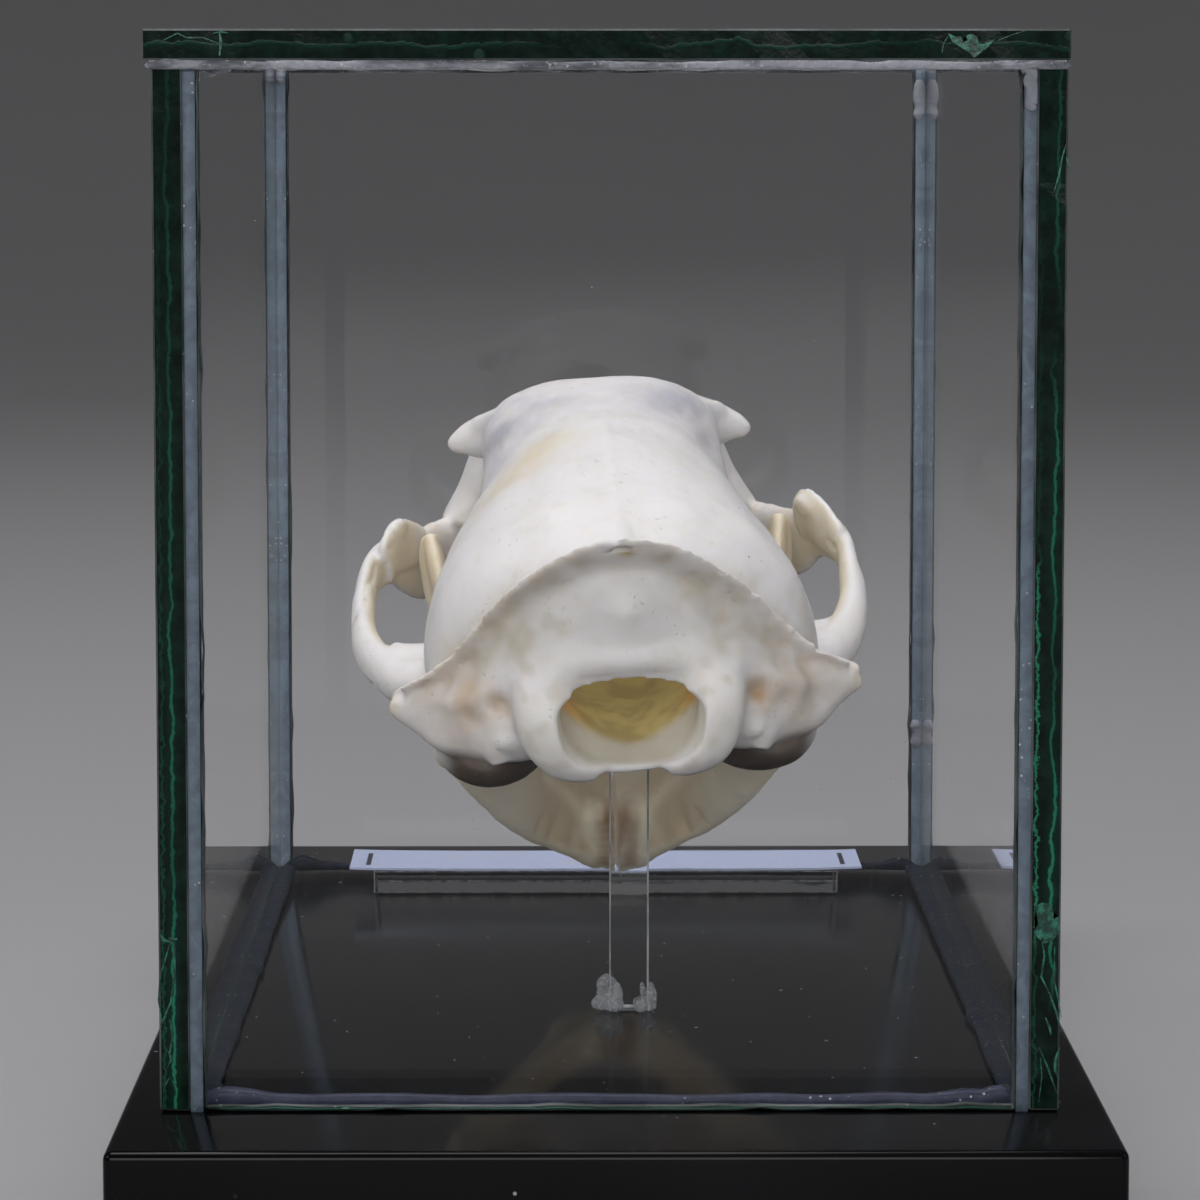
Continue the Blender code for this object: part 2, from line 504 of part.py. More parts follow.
def case_panes():
    """Four walls and a lid. The side walls run the full depth, the end walls sit between them with glued joints."""
    floor = PLINTH_Z + GAP
    top = PLINTH_Z + CASE_Z
    middle = CASE_AT_X
    out_x, out_y = CASE_X / 2 + GLASS, CASE_Y / 2 + GLASS
    panes = []
    for name, side in (("pane_left", -1), ("pane_right", 1)):
        x = sorted((middle + side * CASE_X / 2, middle + side * out_x))
        panes.append(block(name, (x[0], -out_y, floor), (x[1], out_y, top)))
    for name, side in (("pane_back", -1), ("pane_front", 1)):
        y = sorted((side * CASE_Y / 2, side * out_y))
        half = CASE_X / 2 - JOINT
        panes.append(block(name, (middle - half, y[0], floor), (middle + half, y[1], top)))
    panes.append(block("pane_top", (middle - out_x - LID_LEFT, -out_y - LID_ENDS, top + GAP),
                       (middle + out_x + LID_RIGHT, out_y + LID_ENDS, top + GAP + GLASS)))
    return panes


def stand():
    half_x, half_y = PLINTH_X / 2, PLINTH_Y / 2
    plinth = block("plinth", (-half_x, -half_y, 0), (half_x, half_y, PLINTH_Z), PLINTH_BEVEL)
    strip_top = PLINTH_Z + GAP + STRIP_THICK
    strip = block("label_strip", (-STRIP_X / 2, LABEL_AT - STRIP_Y / 2, PLINTH_Z + GAP),
                  (STRIP_X / 2, LABEL_AT + STRIP_Y / 2, strip_top))
    label = block("label", (-LABEL_X / 2, LABEL_AT - LABEL_Y / 2, strip_top + GAP),
                  (LABEL_X / 2, LABEL_AT + LABEL_Y / 2, strip_top + GAP + LABEL_THICK))
    return plinth, strip, label


def rod(skull_to_world):
    """Square rod, cut on top to the slope of the floor of the braincase that it holds."""
    x, y = ROD_AT
    half = ROD / 2
    bar = block("rod", (x - half, y - half, PLINTH_Z + GAP), (x + half, y + half, PLINTH_Z + 20))
    to_skull = skull_to_world.inverted()
    for vert in bar.data.vertices:
        if vert.co.z < 0:
            continue
        world = Vector(vert.co) + bar.location
        here = to_skull @ (world / MM)
        rise = (FLOOR_UNDER_ROD - GAP - here.z) / (skull_to_world.inverted().to_3x3() @ Vector((0, 0, 1))).z
        vert.co.z += rise * MM
    return bar


def main():
    for item in list(bpy.data.objects):
        bpy.data.objects.remove(item, do_unlink=True)
    parts = bpy.data.collections.new("polecat_skull_in_case")
    bpy.context.scene.collection.children.link(parts)

    ivory = material("bone_ivory", (0.74, 0.69, 0.58), 0.5)
    glass = material("case_glass", (0.75, 0.85, 0.82), 0.05, 0.25)
    acrylic = material("rod_acrylic", (0.85, 0.87, 0.86), 0.08, 0.35)
    black = material("plinth_black", (0.012, 0.012, 0.014), 0.12)
    paper = material("label_paper", (0.86, 0.86, 0.9), 0.6)

    pose = bpy.data.objects.new("skull_pose", None)
    x, y, z = SKULL_AT
    pose.location = Vector((x, y, PLINTH_Z + z)) * MM
    turn = (Matrix.Rotation(math.radians(SKULL_YAW), 4, "Z") @ Matrix.Rotation(math.radians(SKULL_PITCH), 4, "X")
            @ Matrix.Rotation(math.radians(SKULL_ROLL), 4, "Y"))
    pose.rotation_euler = turn.to_euler()
    hinge = bpy.data.objects.new("jaw_hinge", None)
    hinge.parent = pose
    hinge.location = Vector(HINGE) * MM
    hinge.rotation_euler = (-math.radians(GAPE), 0, 0)
    link([pose, hinge], parts)

    bones = [(cranium(), pose), (jaw_half("mandible_left", -1), hinge), (jaw_half("mandible_right", 1), hinge)]
    for bone, holder in bones:
        bone.data.transform(Matrix.Scale(MM, 4))
        bone.parent = holder
        bone.data.materials.clear()
        bone.data.materials.append(ivory)
        bone.data.shade_smooth()
    link([bone for bone, _ in bones], parts)

    skull_to_world = Matrix.Translation(Vector((x, y, PLINTH_Z + z))) @ turn
    plinth, strip, label = stand()
    for piece, finish in [(plinth, black), (strip, acrylic), (label, paper), (rod(skull_to_world), acrylic)]:
        piece.data.materials.append(finish)
        link([piece], parts)
    for pane in case_panes():
        pane.data.materials.append(glass)
        link([pane], parts)


main()
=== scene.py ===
"""Polecat skull in its glued glass case: bones, teeth, rod, label, panes, silicone and plinth as they look.

The skull is shaped in millimetres in its own frame: origin midway between the backs of the occipital
condyles, +Y to the nose, +Z up. The jaw has a frame on its hinge. Finished pieces are moved to their places.
"""

import math
import random

import bmesh
import bpy
import numpy as np
from mathutils import Matrix, Vector, noise


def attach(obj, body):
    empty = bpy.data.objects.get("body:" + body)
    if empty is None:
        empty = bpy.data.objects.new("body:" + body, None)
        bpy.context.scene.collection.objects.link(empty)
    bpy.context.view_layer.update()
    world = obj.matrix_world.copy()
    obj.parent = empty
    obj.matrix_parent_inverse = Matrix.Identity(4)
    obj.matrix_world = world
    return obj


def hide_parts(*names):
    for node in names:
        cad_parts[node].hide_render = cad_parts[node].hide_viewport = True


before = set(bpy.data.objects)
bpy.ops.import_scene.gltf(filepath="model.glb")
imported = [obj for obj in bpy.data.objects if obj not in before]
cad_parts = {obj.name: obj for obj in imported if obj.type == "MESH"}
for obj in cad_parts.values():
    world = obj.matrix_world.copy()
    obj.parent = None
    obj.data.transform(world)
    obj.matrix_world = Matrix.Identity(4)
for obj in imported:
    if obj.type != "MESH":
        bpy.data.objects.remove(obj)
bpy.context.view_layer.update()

MM = 0.001

# plinth, case, rod and label, in millimetres, as in the part
PLINTH_X, PLINTH_Y, PLINTH_Z = 68.0, 135.0, 9.3
PLINTH_BEVEL = 0.6
CASE_X, CASE_Y, CASE_Z = 57.5, 105.4, 71.5
CASE_AT_X = -0.35
GLASS = 2.1
LID_LEFT, LID_RIGHT, LID_ENDS = 0.55, 0.1, 0.7
JOINT = 0.9
GAP = 0.3
ROD = 3.0
ROD_AT = (1.4, -15.5)
LABEL_X, LABEL_Y = 44.6, 10.2
STRIP_X, STRIP_Y, STRIP_THICK = 40.4, 9.6, 1.7
LABEL_AT = 43.7
SKULL_AT = (1.4, -36.9, 23.7)
SKULL_YAW, SKULL_PITCH, SKULL_ROLL = 2.5, 10.4, -3.2
HINGE = (0.0, 20.0, -1.5)
GAPE = 31.0
FLOOR_UNDER_ROD = -4.3

# axes: +X to the right as the camera looks, +Y away from it, +Z up
RIGHT, LEFT, AWAY, NEARER, UP, DOWN = (1, 0, 0), (-1, 0, 0), (0, 1, 0), (0, -1, 0), (0, 0, 1), (0, 0, -1)

# fineness of the bone and enamel surfaces
CRANIUM_VOXEL, JAW_VOXEL, TOOTH_VOXEL = 0.27, 0.24, 0.15
CRANIUM_TRIANGLES = 185000

# the head's driving sizes, in millimetres, in the skull's frame
BRAINCASE_HALF = 14.5
WAIST_HALF = 9.3
FRONTAL_TOP = 17.9
INION = (0.0, 0.8, 14.6)
MASTOID = (17.7, 8.2, 1.3)
ZYGOMA_HALF = 19.4
MUZZLE_HALF = 7.8
NOSE_END = 64.0
CONDYLE_RADIUS = 1.2
JAW_LENGTH = 41.0

# colours of the bone, linear
IVORY = (0.80, 0.785, 0.785)
TAN = (0.70, 0.56, 0.35)
YELLOW = (0.74, 0.60, 0.27)
STRAW = (0.71, 0.62, 0.43)
LAVENDER = (0.46, 0.455, 0.515)
PINK = (0.70, 0.585, 0.49)
RUST = (0.46, 0.27, 0.10)
# random grey tone of the bone, also used as painted shade on the back-facing faces of the occiput
GREY_TONE_AND_SHADE = (0.66, 0.645, 0.61)
# tan stain that also stands as painted shadow under the overhanging nuchal crest
TAN_AND_SHADOW = (0.47, 0.41, 0.30)
BRUISE = (0.38, 0.32, 0.33)
SHADE_BROWN = (0.050, 0.028, 0.016)
OLIVE = (0.42, 0.335, 0.13)
JAW_BEIGE = (0.80, 0.72, 0.56)
# white used as painted highlight on the knobs below the condyle pits and on the roll above the foramen magnum
PAINTED_HIGHLIGHT = (0.86, 0.85, 0.83)
# share of the painted glow over each whole jaw half; the glow stands for fill light on the jaw
JAW_PAINTED_GLOW = 0.25


# shader arithmetic

class Wire:
    """A socket of a material's nodes, with arithmetic that adds Math nodes."""

    def __init__(self, tree, socket):
        self.tree, self.socket = tree, socket

    def node(self, kind, settings, sockets, out=0):
        return add_node(self.tree, kind, settings, sockets, out)

    def math(self, operation, *values, clamp=False):
        settings = {"operation": operation, "use_clamp": clamp}
        return self.node("ShaderNodeMath", settings, dict(enumerate(values)))

    def __add__(self, other):
        return self.math("ADD", self, other)

    def __sub__(self, other):
        return self.math("SUBTRACT", self, other)

    def __rsub__(self, other):
        return self.math("SUBTRACT", other, self)

    def __mul__(self, other):
        return self.math("MULTIPLY", self, other)

    __radd__, __rmul__ = __add__, __mul__

    def __abs__(self):
        return self.math("ABSOLUTE", self)

    def most(self, other):
        return self.math("MAXIMUM", self, other)

    def step(self, low, high):
        """0 below low and 1 above high, smooth between, or the reverse where low is the larger."""
        if low > high:
            return 1 - self.step(high, low)
        settings = {"interpolation_type": "SMOOTHSTEP"}
        return self.node("ShaderNodeMapRange", settings, {0: self, 1: low, 2: high})


def add_node(tree, kind, settings, sockets, out=0):
    """Add a node: its settings first, then the values or links of its sockets; returns one of its outputs."""
    made = tree.nodes.new(kind)
    for key, value in settings.items():
        setattr(made, key, value)
    for key, value in sockets.items():
        if isinstance(value, Wire):
            tree.links.new(value.socket, made.inputs[key])
        else:
            made.inputs[key].default_value = value
    return Wire(tree, made.outputs[out])


class Finish:
    """A material with one Principled shader, and the nodes that feed it."""

    def __init__(self, name):
        self.made = bpy.data.materials.new(name)
        self.made.use_nodes = True
        self.tree = self.made.node_tree
        self.shader = self.tree.nodes["Principled BSDF"]
        self.output = self.tree.nodes["Material Output"]

    def node(self, kind, settings, sockets, out=0):
        return add_node(self.tree, kind, settings, sockets, out)

    def place(self):
        return self.node("ShaderNodeTexCoord", {}, {}, "Object")

    def axes(self, vector):
        split = self.node("ShaderNodeSeparateXYZ", {}, {0: vector}).socket.node
        return [Wire(self.tree, socket) for socket in split.outputs]

    def attribute(self, name, out="Fac"):
        return self.node("ShaderNodeAttribute", {"attribute_name": name}, {}, out)

    def stretch(self, vector, scale, move=(0, 0, 0)):
        return self.node("ShaderNodeMapping", {}, {0: vector, "Scale": scale, "Location": move})

    def cloud(self, vector, size, detail=3.0, roughness=0.5, distortion=0.0):
        """Noise with features of about size metres."""
        sockets = {"Vector": vector, "Scale": 1 / size, "Detail": detail, "Roughness": roughness,
                   "Distortion": distortion}
        return self.node("ShaderNodeTexNoise", {}, sockets)

    def cells(self, vector, size, feature="F1", randomness=1.0):
        sockets = {"Vector": vector, "Scale": 1 / size, "Randomness": randomness}
        return self.node("ShaderNodeTexVoronoi", {"feature": feature}, sockets)

    def mix(self, share, a, b, blend="MIX"):
        """Colour a, turning to b by share."""
        a, b = [value if isinstance(value, Wire) else (*value, 1.0) for value in (a, b)]
        kind = {"data_type": "RGBA", "blend_type": blend}
        return self.node("ShaderNodeMix", kind, {0: share, 6: a, 7: b}, 2)

    def bump(self, height, distance, strength=1.0, normal=None):
        sockets = {"Height": height, "Distance": distance, "Strength": strength}
        if normal:
            sockets["Normal"] = normal
        return self.node("ShaderNodeBump", {}, sockets)

    def set(self, **sockets):
        """Values or links of the Principled shader, with _ for a space."""
        for key, value in sockets.items():
            socket = self.shader.inputs[key.replace("_", " ")]
            if isinstance(value, Wire):
                self.tree.links.new(value.socket, socket)
            elif isinstance(value, tuple) and len(value) == 3 and socket.type == "RGBA":
                socket.default_value = (*value, 1.0)
            else:
                socket.default_value = value
        return self

    def let_lamps_through(self, tint):
        """Shadow rays pass, so the lamps light what the glass holds."""
        lamp = self.node("ShaderNodeLightPath", {}, {}, "Is Shadow Ray")
        clear = self.node("ShaderNodeBsdfTransparent", {}, {0: (*tint, 1.0)})
        shader = Wire(self.tree, self.shader.outputs[0])
        both = self.node("ShaderNodeMixShader", {}, {0: lamp, 1: shader, 2: clear})
        self.tree.links.new(both.socket, self.output.inputs["Surface"])
        return self


# finishes

def bone_finish():
    """Cleaned bone: stains, painted shade and painted highlights from the piece's own tint, fine grain, pores
    and a satin surface, with painted shade in its hollows, painted highlight on its ridges and a painted glow
    where it is marked.
    """
    bone = Finish("cleaned_bone")
    place = bone.place()
    hollow, ridge = bone.attribute("hollow"), bone.attribute("ridge")
    broad = bone.cloud(place, 0.0042, 3.0, 0.55)
    fine = bone.cloud(place, 0.0011, 3.0, 0.6)
    dust = bone.cloud(place, 0.00028, 1.0, 0.65)
    pore_room = bone.cloud(place, 0.0033, 0.0)
    pores = bone.cloud(place, 0.00045, 2.0, 0.4).step(0.66, 0.74) * pore_room.step(0.5, 0.7)
    tint = bone.attribute("tint", "Color")
    colour = bone.mix(broad.step(0.45, 0.75) * 0.30, tint, (0.90, 0.87, 0.78), "MULTIPLY")
    colour = bone.mix(fine.step(0.5, 0.72) * 0.24, colour, (0.95, 0.86, 0.70), "MULTIPLY")
    # painted shade: darker in the hollows
    colour = bone.mix(hollow * 0.5, colour, (0.80, 0.69, 0.54), "MULTIPLY")
    # painted highlight: lighter on the ridges
    colour = bone.mix(ridge * 0.45, colour, (0.88, 0.87, 0.84))
    colour = bone.mix(pores * 0.35, colour, (0.55, 0.43, 0.28))
    veins = bone.cloud(bone.stretch(place, (1.0, 0.32, 1.0)), 0.0016, 2.0, 0.6)
    height = fine * 0.55 + dust * 0.22 + veins * 0.35 - pores * 0.9
    normal = bone.bump(height, 0.00009, 0.55)
    roughness = 0.40 + fine * 0.16 + hollow * 0.14
    # painted glow: emission in the bone's tint where it is marked, standing for light soaking through the
    # thin braincase and for fill light on the jaw
    painted_glow = bone.mix(bone.attribute("inside"), (0.0, 0.0, 0.0), tint)
    bone.set(Base_Color=colour, Roughness=roughness, Normal=normal, Subsurface_Weight=0.22,
             Subsurface_Scale=0.0012, Subsurface_Radius=(1.0, 0.62, 0.38), Specular_IOR_Level=0.25,
             Emission_Color=painted_glow, Emission_Strength=0.26)
    return bone.made


def enamel_finish():
    """Tooth enamel: cream white and glossy, yellower and duller towards the root."""
    enamel = Finish("tooth_enamel")
    place = enamel.place()
    root = enamel.attribute("root")
    streaks = enamel.cloud(enamel.stretch(place, (1.0, 1.0, 0.25)), 0.0006, 4.0, 0.6)
    colour = enamel.mix(root, (0.84, 0.82, 0.76), (0.66, 0.52, 0.30))
    colour = enamel.mix(streaks.step(0.45, 0.75) * 0.35, colour, (0.80, 0.70, 0.52), "MULTIPLY")
    normal = enamel.bump(streaks, 0.00004, 0.4)
    enamel.set(Base_Color=colour, Roughness=0.2 + root * 0.22, Normal=normal, Subsurface_Weight=0.15,
               Subsurface_Scale=0.0008, Subsurface_Radius=(1.0, 0.8, 0.6))
    return enamel.made


def pane_finish():
    """Wide faces of the panes: clear, with a breath of dust and wipe marks that dull the gloss a little."""
    pane = Finish("clear_pane")
    smear = pane.cloud(pane.stretch(pane.place(), (1.0, 1.0, 0.4)), 0.018, 0.0)
    pane.set(Base_Color=(0.988, 0.992, 0.992), Roughness=smear.step(0.55, 0.9) * 0.03,
             Transmission_Weight=1.0, IOR=1.3)
    pane.let_lamps_through((0.975, 0.975, 0.98))
    return pane.made


def edge_finish():
    """Cut edge of a pane, read from its maps: near-black sea green, with painted light: a glowing crack and
    small chips lit by it.
    """
    edge = Finish("green_glass_edge")
    along, across, seed = edge.axes(edge.attribute("edge", "Vector"))
    middle, light, side_light = edge.axes(edge.attribute("crack", "Vector"))
    flake = edge.node("ShaderNodeCombineXYZ", {}, {0: along, 1: across * 2.0, 2: seed})
    streak = edge.cloud(flake, 1.3, 4.0, 0.65)
    line = abs(across - middle - (streak - 0.5) * 0.35)
    loops = abs(across - 0.17 - (edge.cloud(flake, 0.8, 3.0, 0.7) - 0.5) * 0.5)
    # painted light: a bright crack line and side loops, a halo round the line and lit chips, all scaled by
    # the light read from the crack map
    bright = (line.step(0.07, 0.02) * light).most(loops.step(0.06, 0.02) * side_light)
    halo = line.step(0.34, 0.0) * light
    chips = edge.cells(flake, 2.4).step(0.2, 0.1) * edge.cloud(flake, 7.0, 1.0).step(0.6, 0.66) * light
    colour = edge.mix(streak.step(0.35, 0.8), (0.0035, 0.0100, 0.0070), (0.0090, 0.0300, 0.0200))
    colour = edge.mix(halo * 0.4, colour, (0.010, 0.070, 0.040))
    colour = edge.mix(bright, colour, (0.030, 0.26, 0.155))
    colour = edge.mix(chips, colour, (0.10, 0.30, 0.20))
    height = streak * 0.3 + bright * 0.5 + chips
    edge.set(Base_Color=colour, Roughness=0.14 + chips * 0.3, Normal=edge.bump(height, 0.00012, 0.6),
             IOR=1.22)
    return edge.made


def arris_finish():
    """Ground arris along every edge of a pane: grey, with painted glints where it is nibbled."""
    arris = Finish("ground_arris")
    place = arris.place()
    grit_and_glints = arris.cloud(place, 0.0005, 4.0, 0.7)
    dull = arris.cloud(place, 0.006, 3.0)
    colour = arris.mix(dull.step(0.35, 0.65), (0.030, 0.045, 0.040), (0.115, 0.130, 0.130))
    # painted glints on the grit
    colour = arris.mix(grit_and_glints.step(0.64, 0.76), colour, (0.45, 0.48, 0.48))
    arris.set(Base_Color=colour, Roughness=0.3 + grit_and_glints * 0.4, Normal=arris.bump(grit_and_glints, 0.00008, 0.7))
    return arris.made


def crack_finish():
    """Light caught in the deeper cracks and chips of the cut edges."""
    crack = Finish("lit_crack")
    place = crack.place()
    flicker = crack.cloud(place, 0.0007, 4.0, 0.65)
    colour = crack.mix(flicker.step(0.4, 0.66), (0.006, 0.050, 0.034), (0.034, 0.26, 0.17))
    crack.set(Base_Color=colour, Roughness=0.25, Normal=crack.bump(flicker, 0.00008, 0.7))
    return crack.made


def dust_finish():
    """Lint and dust caught inside the case."""
    dust = Finish("grey_dust")
    tone = dust.cloud(dust.place(), 0.003, 2.0)
    dust.set(Base_Color=dust.mix(tone.step(0.3, 0.7), (0.10, 0.10, 0.11), (0.42, 0.41, 0.40)), Roughness=0.9)
    return dust.made


def silicone_finish(name, colour, clear, milk, ior=1.41):
    """Squeezed silicone: clear by that share, milky, with small ripples, bubbles and caught dust."""
    bead = Finish(name)
    place = bead.place()
    ripple = bead.cloud(place, 0.0016, 4.0, 0.6, 0.8)
    froth = bead.cells(place, 0.0006)
    specks = froth.step(0.2, 0.08) * bead.cloud(place, 0.004, 2.0).step(0.5, 0.62)
    tint = bead.mix(ripple.step(0.35, 0.7), tuple(0.8 * c for c in colour),
                    tuple(min(1.0, c * 1.2) for c in colour))
    tint = bead.mix(specks, tint, (0.85, 0.86, 0.88))
    bead.set(Base_Color=tint, Roughness=milk + ripple * 0.2,
             Normal=bead.bump(ripple + specks * 0.5, 0.00015, 0.6), Transmission_Weight=clear, IOR=ior)
    bead.let_lamps_through(tuple(0.6 * c for c in colour))
    return bead.made


def frosted_seam_finish():
    """Rough line of glue under the lid, lavender grey and full of painted glints."""
    seam = Finish("frosted_seam")
    place = seam.place()
    crumbs = seam.cells(place, 0.0007)
    grit_and_glints = seam.cloud(place, 0.00045, 5.0, 0.7)
    stretchy = seam.cloud(seam.stretch(place, (0.3, 0.3, 1.0)), 0.0016, 3.0, 0.6)
    colour = seam.mix(stretchy.step(0.35, 0.6), (0.12, 0.125, 0.15), (0.50, 0.51, 0.57))
    # painted glints on the grit
    colour = seam.mix(grit_and_glints.step(0.58, 0.72), colour, (0.80, 0.82, 0.84))
    height = grit_and_glints + crumbs * 1.2
    seam.set(Base_Color=colour, Roughness=0.16 + grit_and_glints * 0.4, Normal=seam.bump(height, 0.00025, 0.9))
    return seam.made


def acrylic_finish(name, scratch):
    """Clear acrylic with faint saw and polish marks."""
    rod = Finish(name)
    place = rod.place()
    marks = rod.cloud(rod.stretch(place, scratch), 0.0009, 4.0, 0.7)
    rod.set(Base_Color=(0.975, 0.98, 0.98), Roughness=marks.step(0.5, 0.9) * 0.12, Transmission_Weight=1.0,
            IOR=1.49, Normal=rod.bump(marks, 0.00001, 0.5))
    rod.let_lamps_through((0.93, 0.94, 0.94))
    return rod.made


def saw_arris_finish():
    """Scraped corners of the acrylic: frosted pale grey."""
    arris = Finish("scraped_acrylic_edge")
    place = arris.place()
    marks = arris.cloud(arris.stretch(place, (1, 1, 0.2)), 0.0008, 4.0, 0.7)
    arris.set(Base_Color=arris.mix(marks.step(0.35, 0.65), (0.17, 0.18, 0.18), (0.52, 0.54, 0.54)),
              Roughness=0.4 + marks * 0.3, Normal=arris.bump(marks, 0.00005, 0.6))
    return arris.made


def glue_finish(name, colour, clear, roughness):
    """Hard glue at the foot and top of the rod, clear by that share, with whiter creases."""
    glue = Finish(name)
    place = glue.place()
    folds = glue.cloud(place, 0.0007, 4.0, 0.6, 1.0)
    tint = glue.mix(folds.step(0.5, 0.66), tuple(0.72 * c for c in colour), colour)
    glue.set(Base_Color=tint, Roughness=roughness + folds.step(0.45, 0.7) * 0.3, Transmission_Weight=clear,
             IOR=1.47, Normal=glue.bump(folds, 0.00018, 0.8))
    glue.let_lamps_through((0.85, 0.87, 0.9))
    return glue.made


def plinth_finish():
    """Polished black plinth with wipe marks, hairline scratches and specks of dust."""
    black = Finish("polished_black")
    place = black.place()
    smear = black.cloud(black.stretch(place, (0.5, 1.0, 1.0)), 0.022, 2.0, 0.6)
    lint = black.cells(place, 0.0036).step(0.055, 0.03) * black.cloud(place, 0.02, 2.0).step(0.42, 0.6)
    colour = black.mix(smear.step(0.45, 0.8), (0.0035, 0.0035, 0.0042), (0.0085, 0.0088, 0.0100))
    colour = black.mix(lint, colour, (0.45, 0.46, 0.47))
    black.set(Base_Color=colour, Roughness=0.09 + smear.step(0.4, 0.8) * 0.10 + lint * 0.5,
              Normal=black.bump(smear * 0.6, 0.00004, 0.5), IOR=1.25)
    return black.made


def paper_finish():
    """White label card with a fibrous surface and two plain ink strokes near its ends."""
    paper = Finish("label_card")
    place = paper.place()
    x, y, _ = paper.axes(place)
    fibres = paper.cloud(paper.stretch(place, (0.35, 1.0, 1.0)), 0.0004, 5.0, 0.7)
    blotch = paper.cloud(place, 0.006, 3.0)
    end = (LABEL_X / 2 - 1.55) * MM
    stroke = abs(abs(x) - end).step(0.00026, 0.00016)
    reach = abs(y - (LABEL_AT + 0.1) * MM).step(0.0034, 0.0032)
    ink = stroke * reach * fibres.step(0.2, 0.4)
    colour = paper.mix(fibres.step(0.3, 0.8), (0.47, 0.53, 0.74), (0.55, 0.61, 0.83))
    colour = paper.mix(blotch.step(0.5, 0.8) * 0.35, colour, (0.56, 0.56, 0.60))
    colour = paper.mix(ink, colour, (0.03, 0.03, 0.05))
    paper.set(Base_Color=colour, Roughness=0.55 + fibres * 0.2, Normal=paper.bump(fibres, 0.00003, 0.6))
    return paper.made


def floor_finish():
    floor = Finish("pale_floor")
    mottle = floor.cloud(floor.place(), 0.35, 0.0)
    floor.set(Base_Color=floor.mix(mottle, (0.50, 0.50, 0.51), (0.54, 0.54, 0.55)), Roughness=0.75,
              Specular_IOR_Level=0.2)
    return floor.made


# shapes: closed bodies through rings, as in the part

def hermite(keys, t):
    """Row of the table keys at t from 0 to 1, on a smooth curve through its rows."""
    rows = np.asarray(keys, float)
    last = len(rows) - 1
    place = min(max(t, 0.0), 1.0) * last
    i = min(int(place), last - 1)
    u = place - i
    before, after = rows[max(i - 1, 0)], rows[min(i + 2, last)]
    a, b = rows[i], rows[i + 1]
    slope_a, slope_b = (b - before) / 2, (after - a) / 2
    return ((2 * u**3 - 3 * u**2 + 1) * a + (u**3 - 2 * u**2 + u) * slope_a
            + (3 * u**2 - 2 * u**3) * b + (u**3 - u**2) * slope_b)


def oval(angle, power):
    """Point of a unit superellipse."""
    c, s = math.cos(angle), math.sin(angle)
    return math.copysign(abs(c) ** (2 / power), c), math.copysign(abs(s) ** (2 / power), s)


def skin(name, ring, around, along):
    """Closed body through the rings ring(t, angle), t from 0 to 1, flat at both ends."""
    bm = bmesh.new()
    rows = along + 1
    bmesh.ops.create_uvsphere(bm, u_segments=around, v_segments=rows, radius=1.0)
    for vert in bm.verts:
        row = round(math.acos(max(-1.0, min(1.0, vert.co.z))) / math.pi * rows)
        t = min(max((row - 1) / (rows - 2), 0.0), 1.0)
        if row in (0, rows):
            ends = [ring(t, math.tau * k / around) for k in range(around)]
            vert.co = sum(ends, Vector()) / around
        else:
            vert.co = ring(t, math.atan2(vert.co.y, vert.co.x))
    if bm.calc_volume(signed=True) < 0:
        bmesh.ops.reverse_faces(bm, faces=bm.faces)
    return settle(bm, name)


def settle(bm, name):
    """Object from a finished bmesh."""
    mesh = bpy.data.meshes.new(name)
    bm.to_mesh(mesh)
    bm.free()
    return bpy.data.objects.new(name, mesh)


def shell(name, keys, around=40, along=40):
    """Body along Y. A key is y, half width, widest level, top, bottom, powers above and below that level."""
    def ring(t, angle):
        y, half, level, top, bottom, above, below = hermite(keys, t)
        c, s = oval(angle, above if angle > 0 else below)
        return Vector((half * c, y, level + s * (top - level if s > 0 else level - bottom)))
    return skin(name, ring, around, along)


def limb(name, keys, up=(0, 0, 1), away=None, side=1, around=16, along=18, power=2.0):
    """Body along a curved line. A key is x, y, z, half size across and half size along up.

    up may be replaced by away, a point inside the head: the second half size then points away from it.
    """
    table = np.asarray(keys, float)

    def ring(t, angle):
        row = hermite(table, t)
        centre = Vector(row[:3])
        step = 0.01
        line = Vector(hermite(table, min(t + step, 1))[:3] - hermite(table, max(t - step, 0))[:3])
        lift = centre - Vector(away) if away else Vector(up)
        across = line.cross(lift).normalized()
        lift = across.cross(line).normalized()
        c, s = oval(angle, power)
        point = centre + across * (row[3] * c) + lift * (row[4] * s)
        return Vector((side * point.x, point.y, point.z))
    return skin(name, ring, around, along)


def pair(name, keys, **shape):
    """The same limb on both sides of the head."""
    return [limb(f"{name}_{side}", keys, side=side, **shape) for side in (-1, 1)]


def apply(item):
    """Replace the object's mesh by what its modifiers make of it."""
    bench = bpy.context.scene.collection
    bench.objects.link(item)
    graph = bpy.context.evaluated_depsgraph_get()
    mesh = bpy.data.meshes.new_from_object(item.evaluated_get(graph))
    bench.objects.unlink(item)
    old = item.data
    item.modifiers.clear()
    item.data = mesh
    bpy.data.meshes.remove(old)


def join(item, others, operation="UNION"):
    """One Boolean of item with a list of closed bodies, which are then removed."""
    work = bpy.data.collections.new("work")
    bpy.context.scene.collection.children.link(work)
    for other in others:
        work.objects.link(other)
    boolean = item.modifiers.new("join", "BOOLEAN")
    boolean.operation = operation
    boolean.operand_type = "COLLECTION"
    boolean.collection = work
    boolean.solver = "EXACT"
    apply(item)
    for other in others:
        mesh = other.data
        bpy.data.objects.remove(other)
        bpy.data.meshes.remove(mesh)
    bpy.data.collections.remove(work)


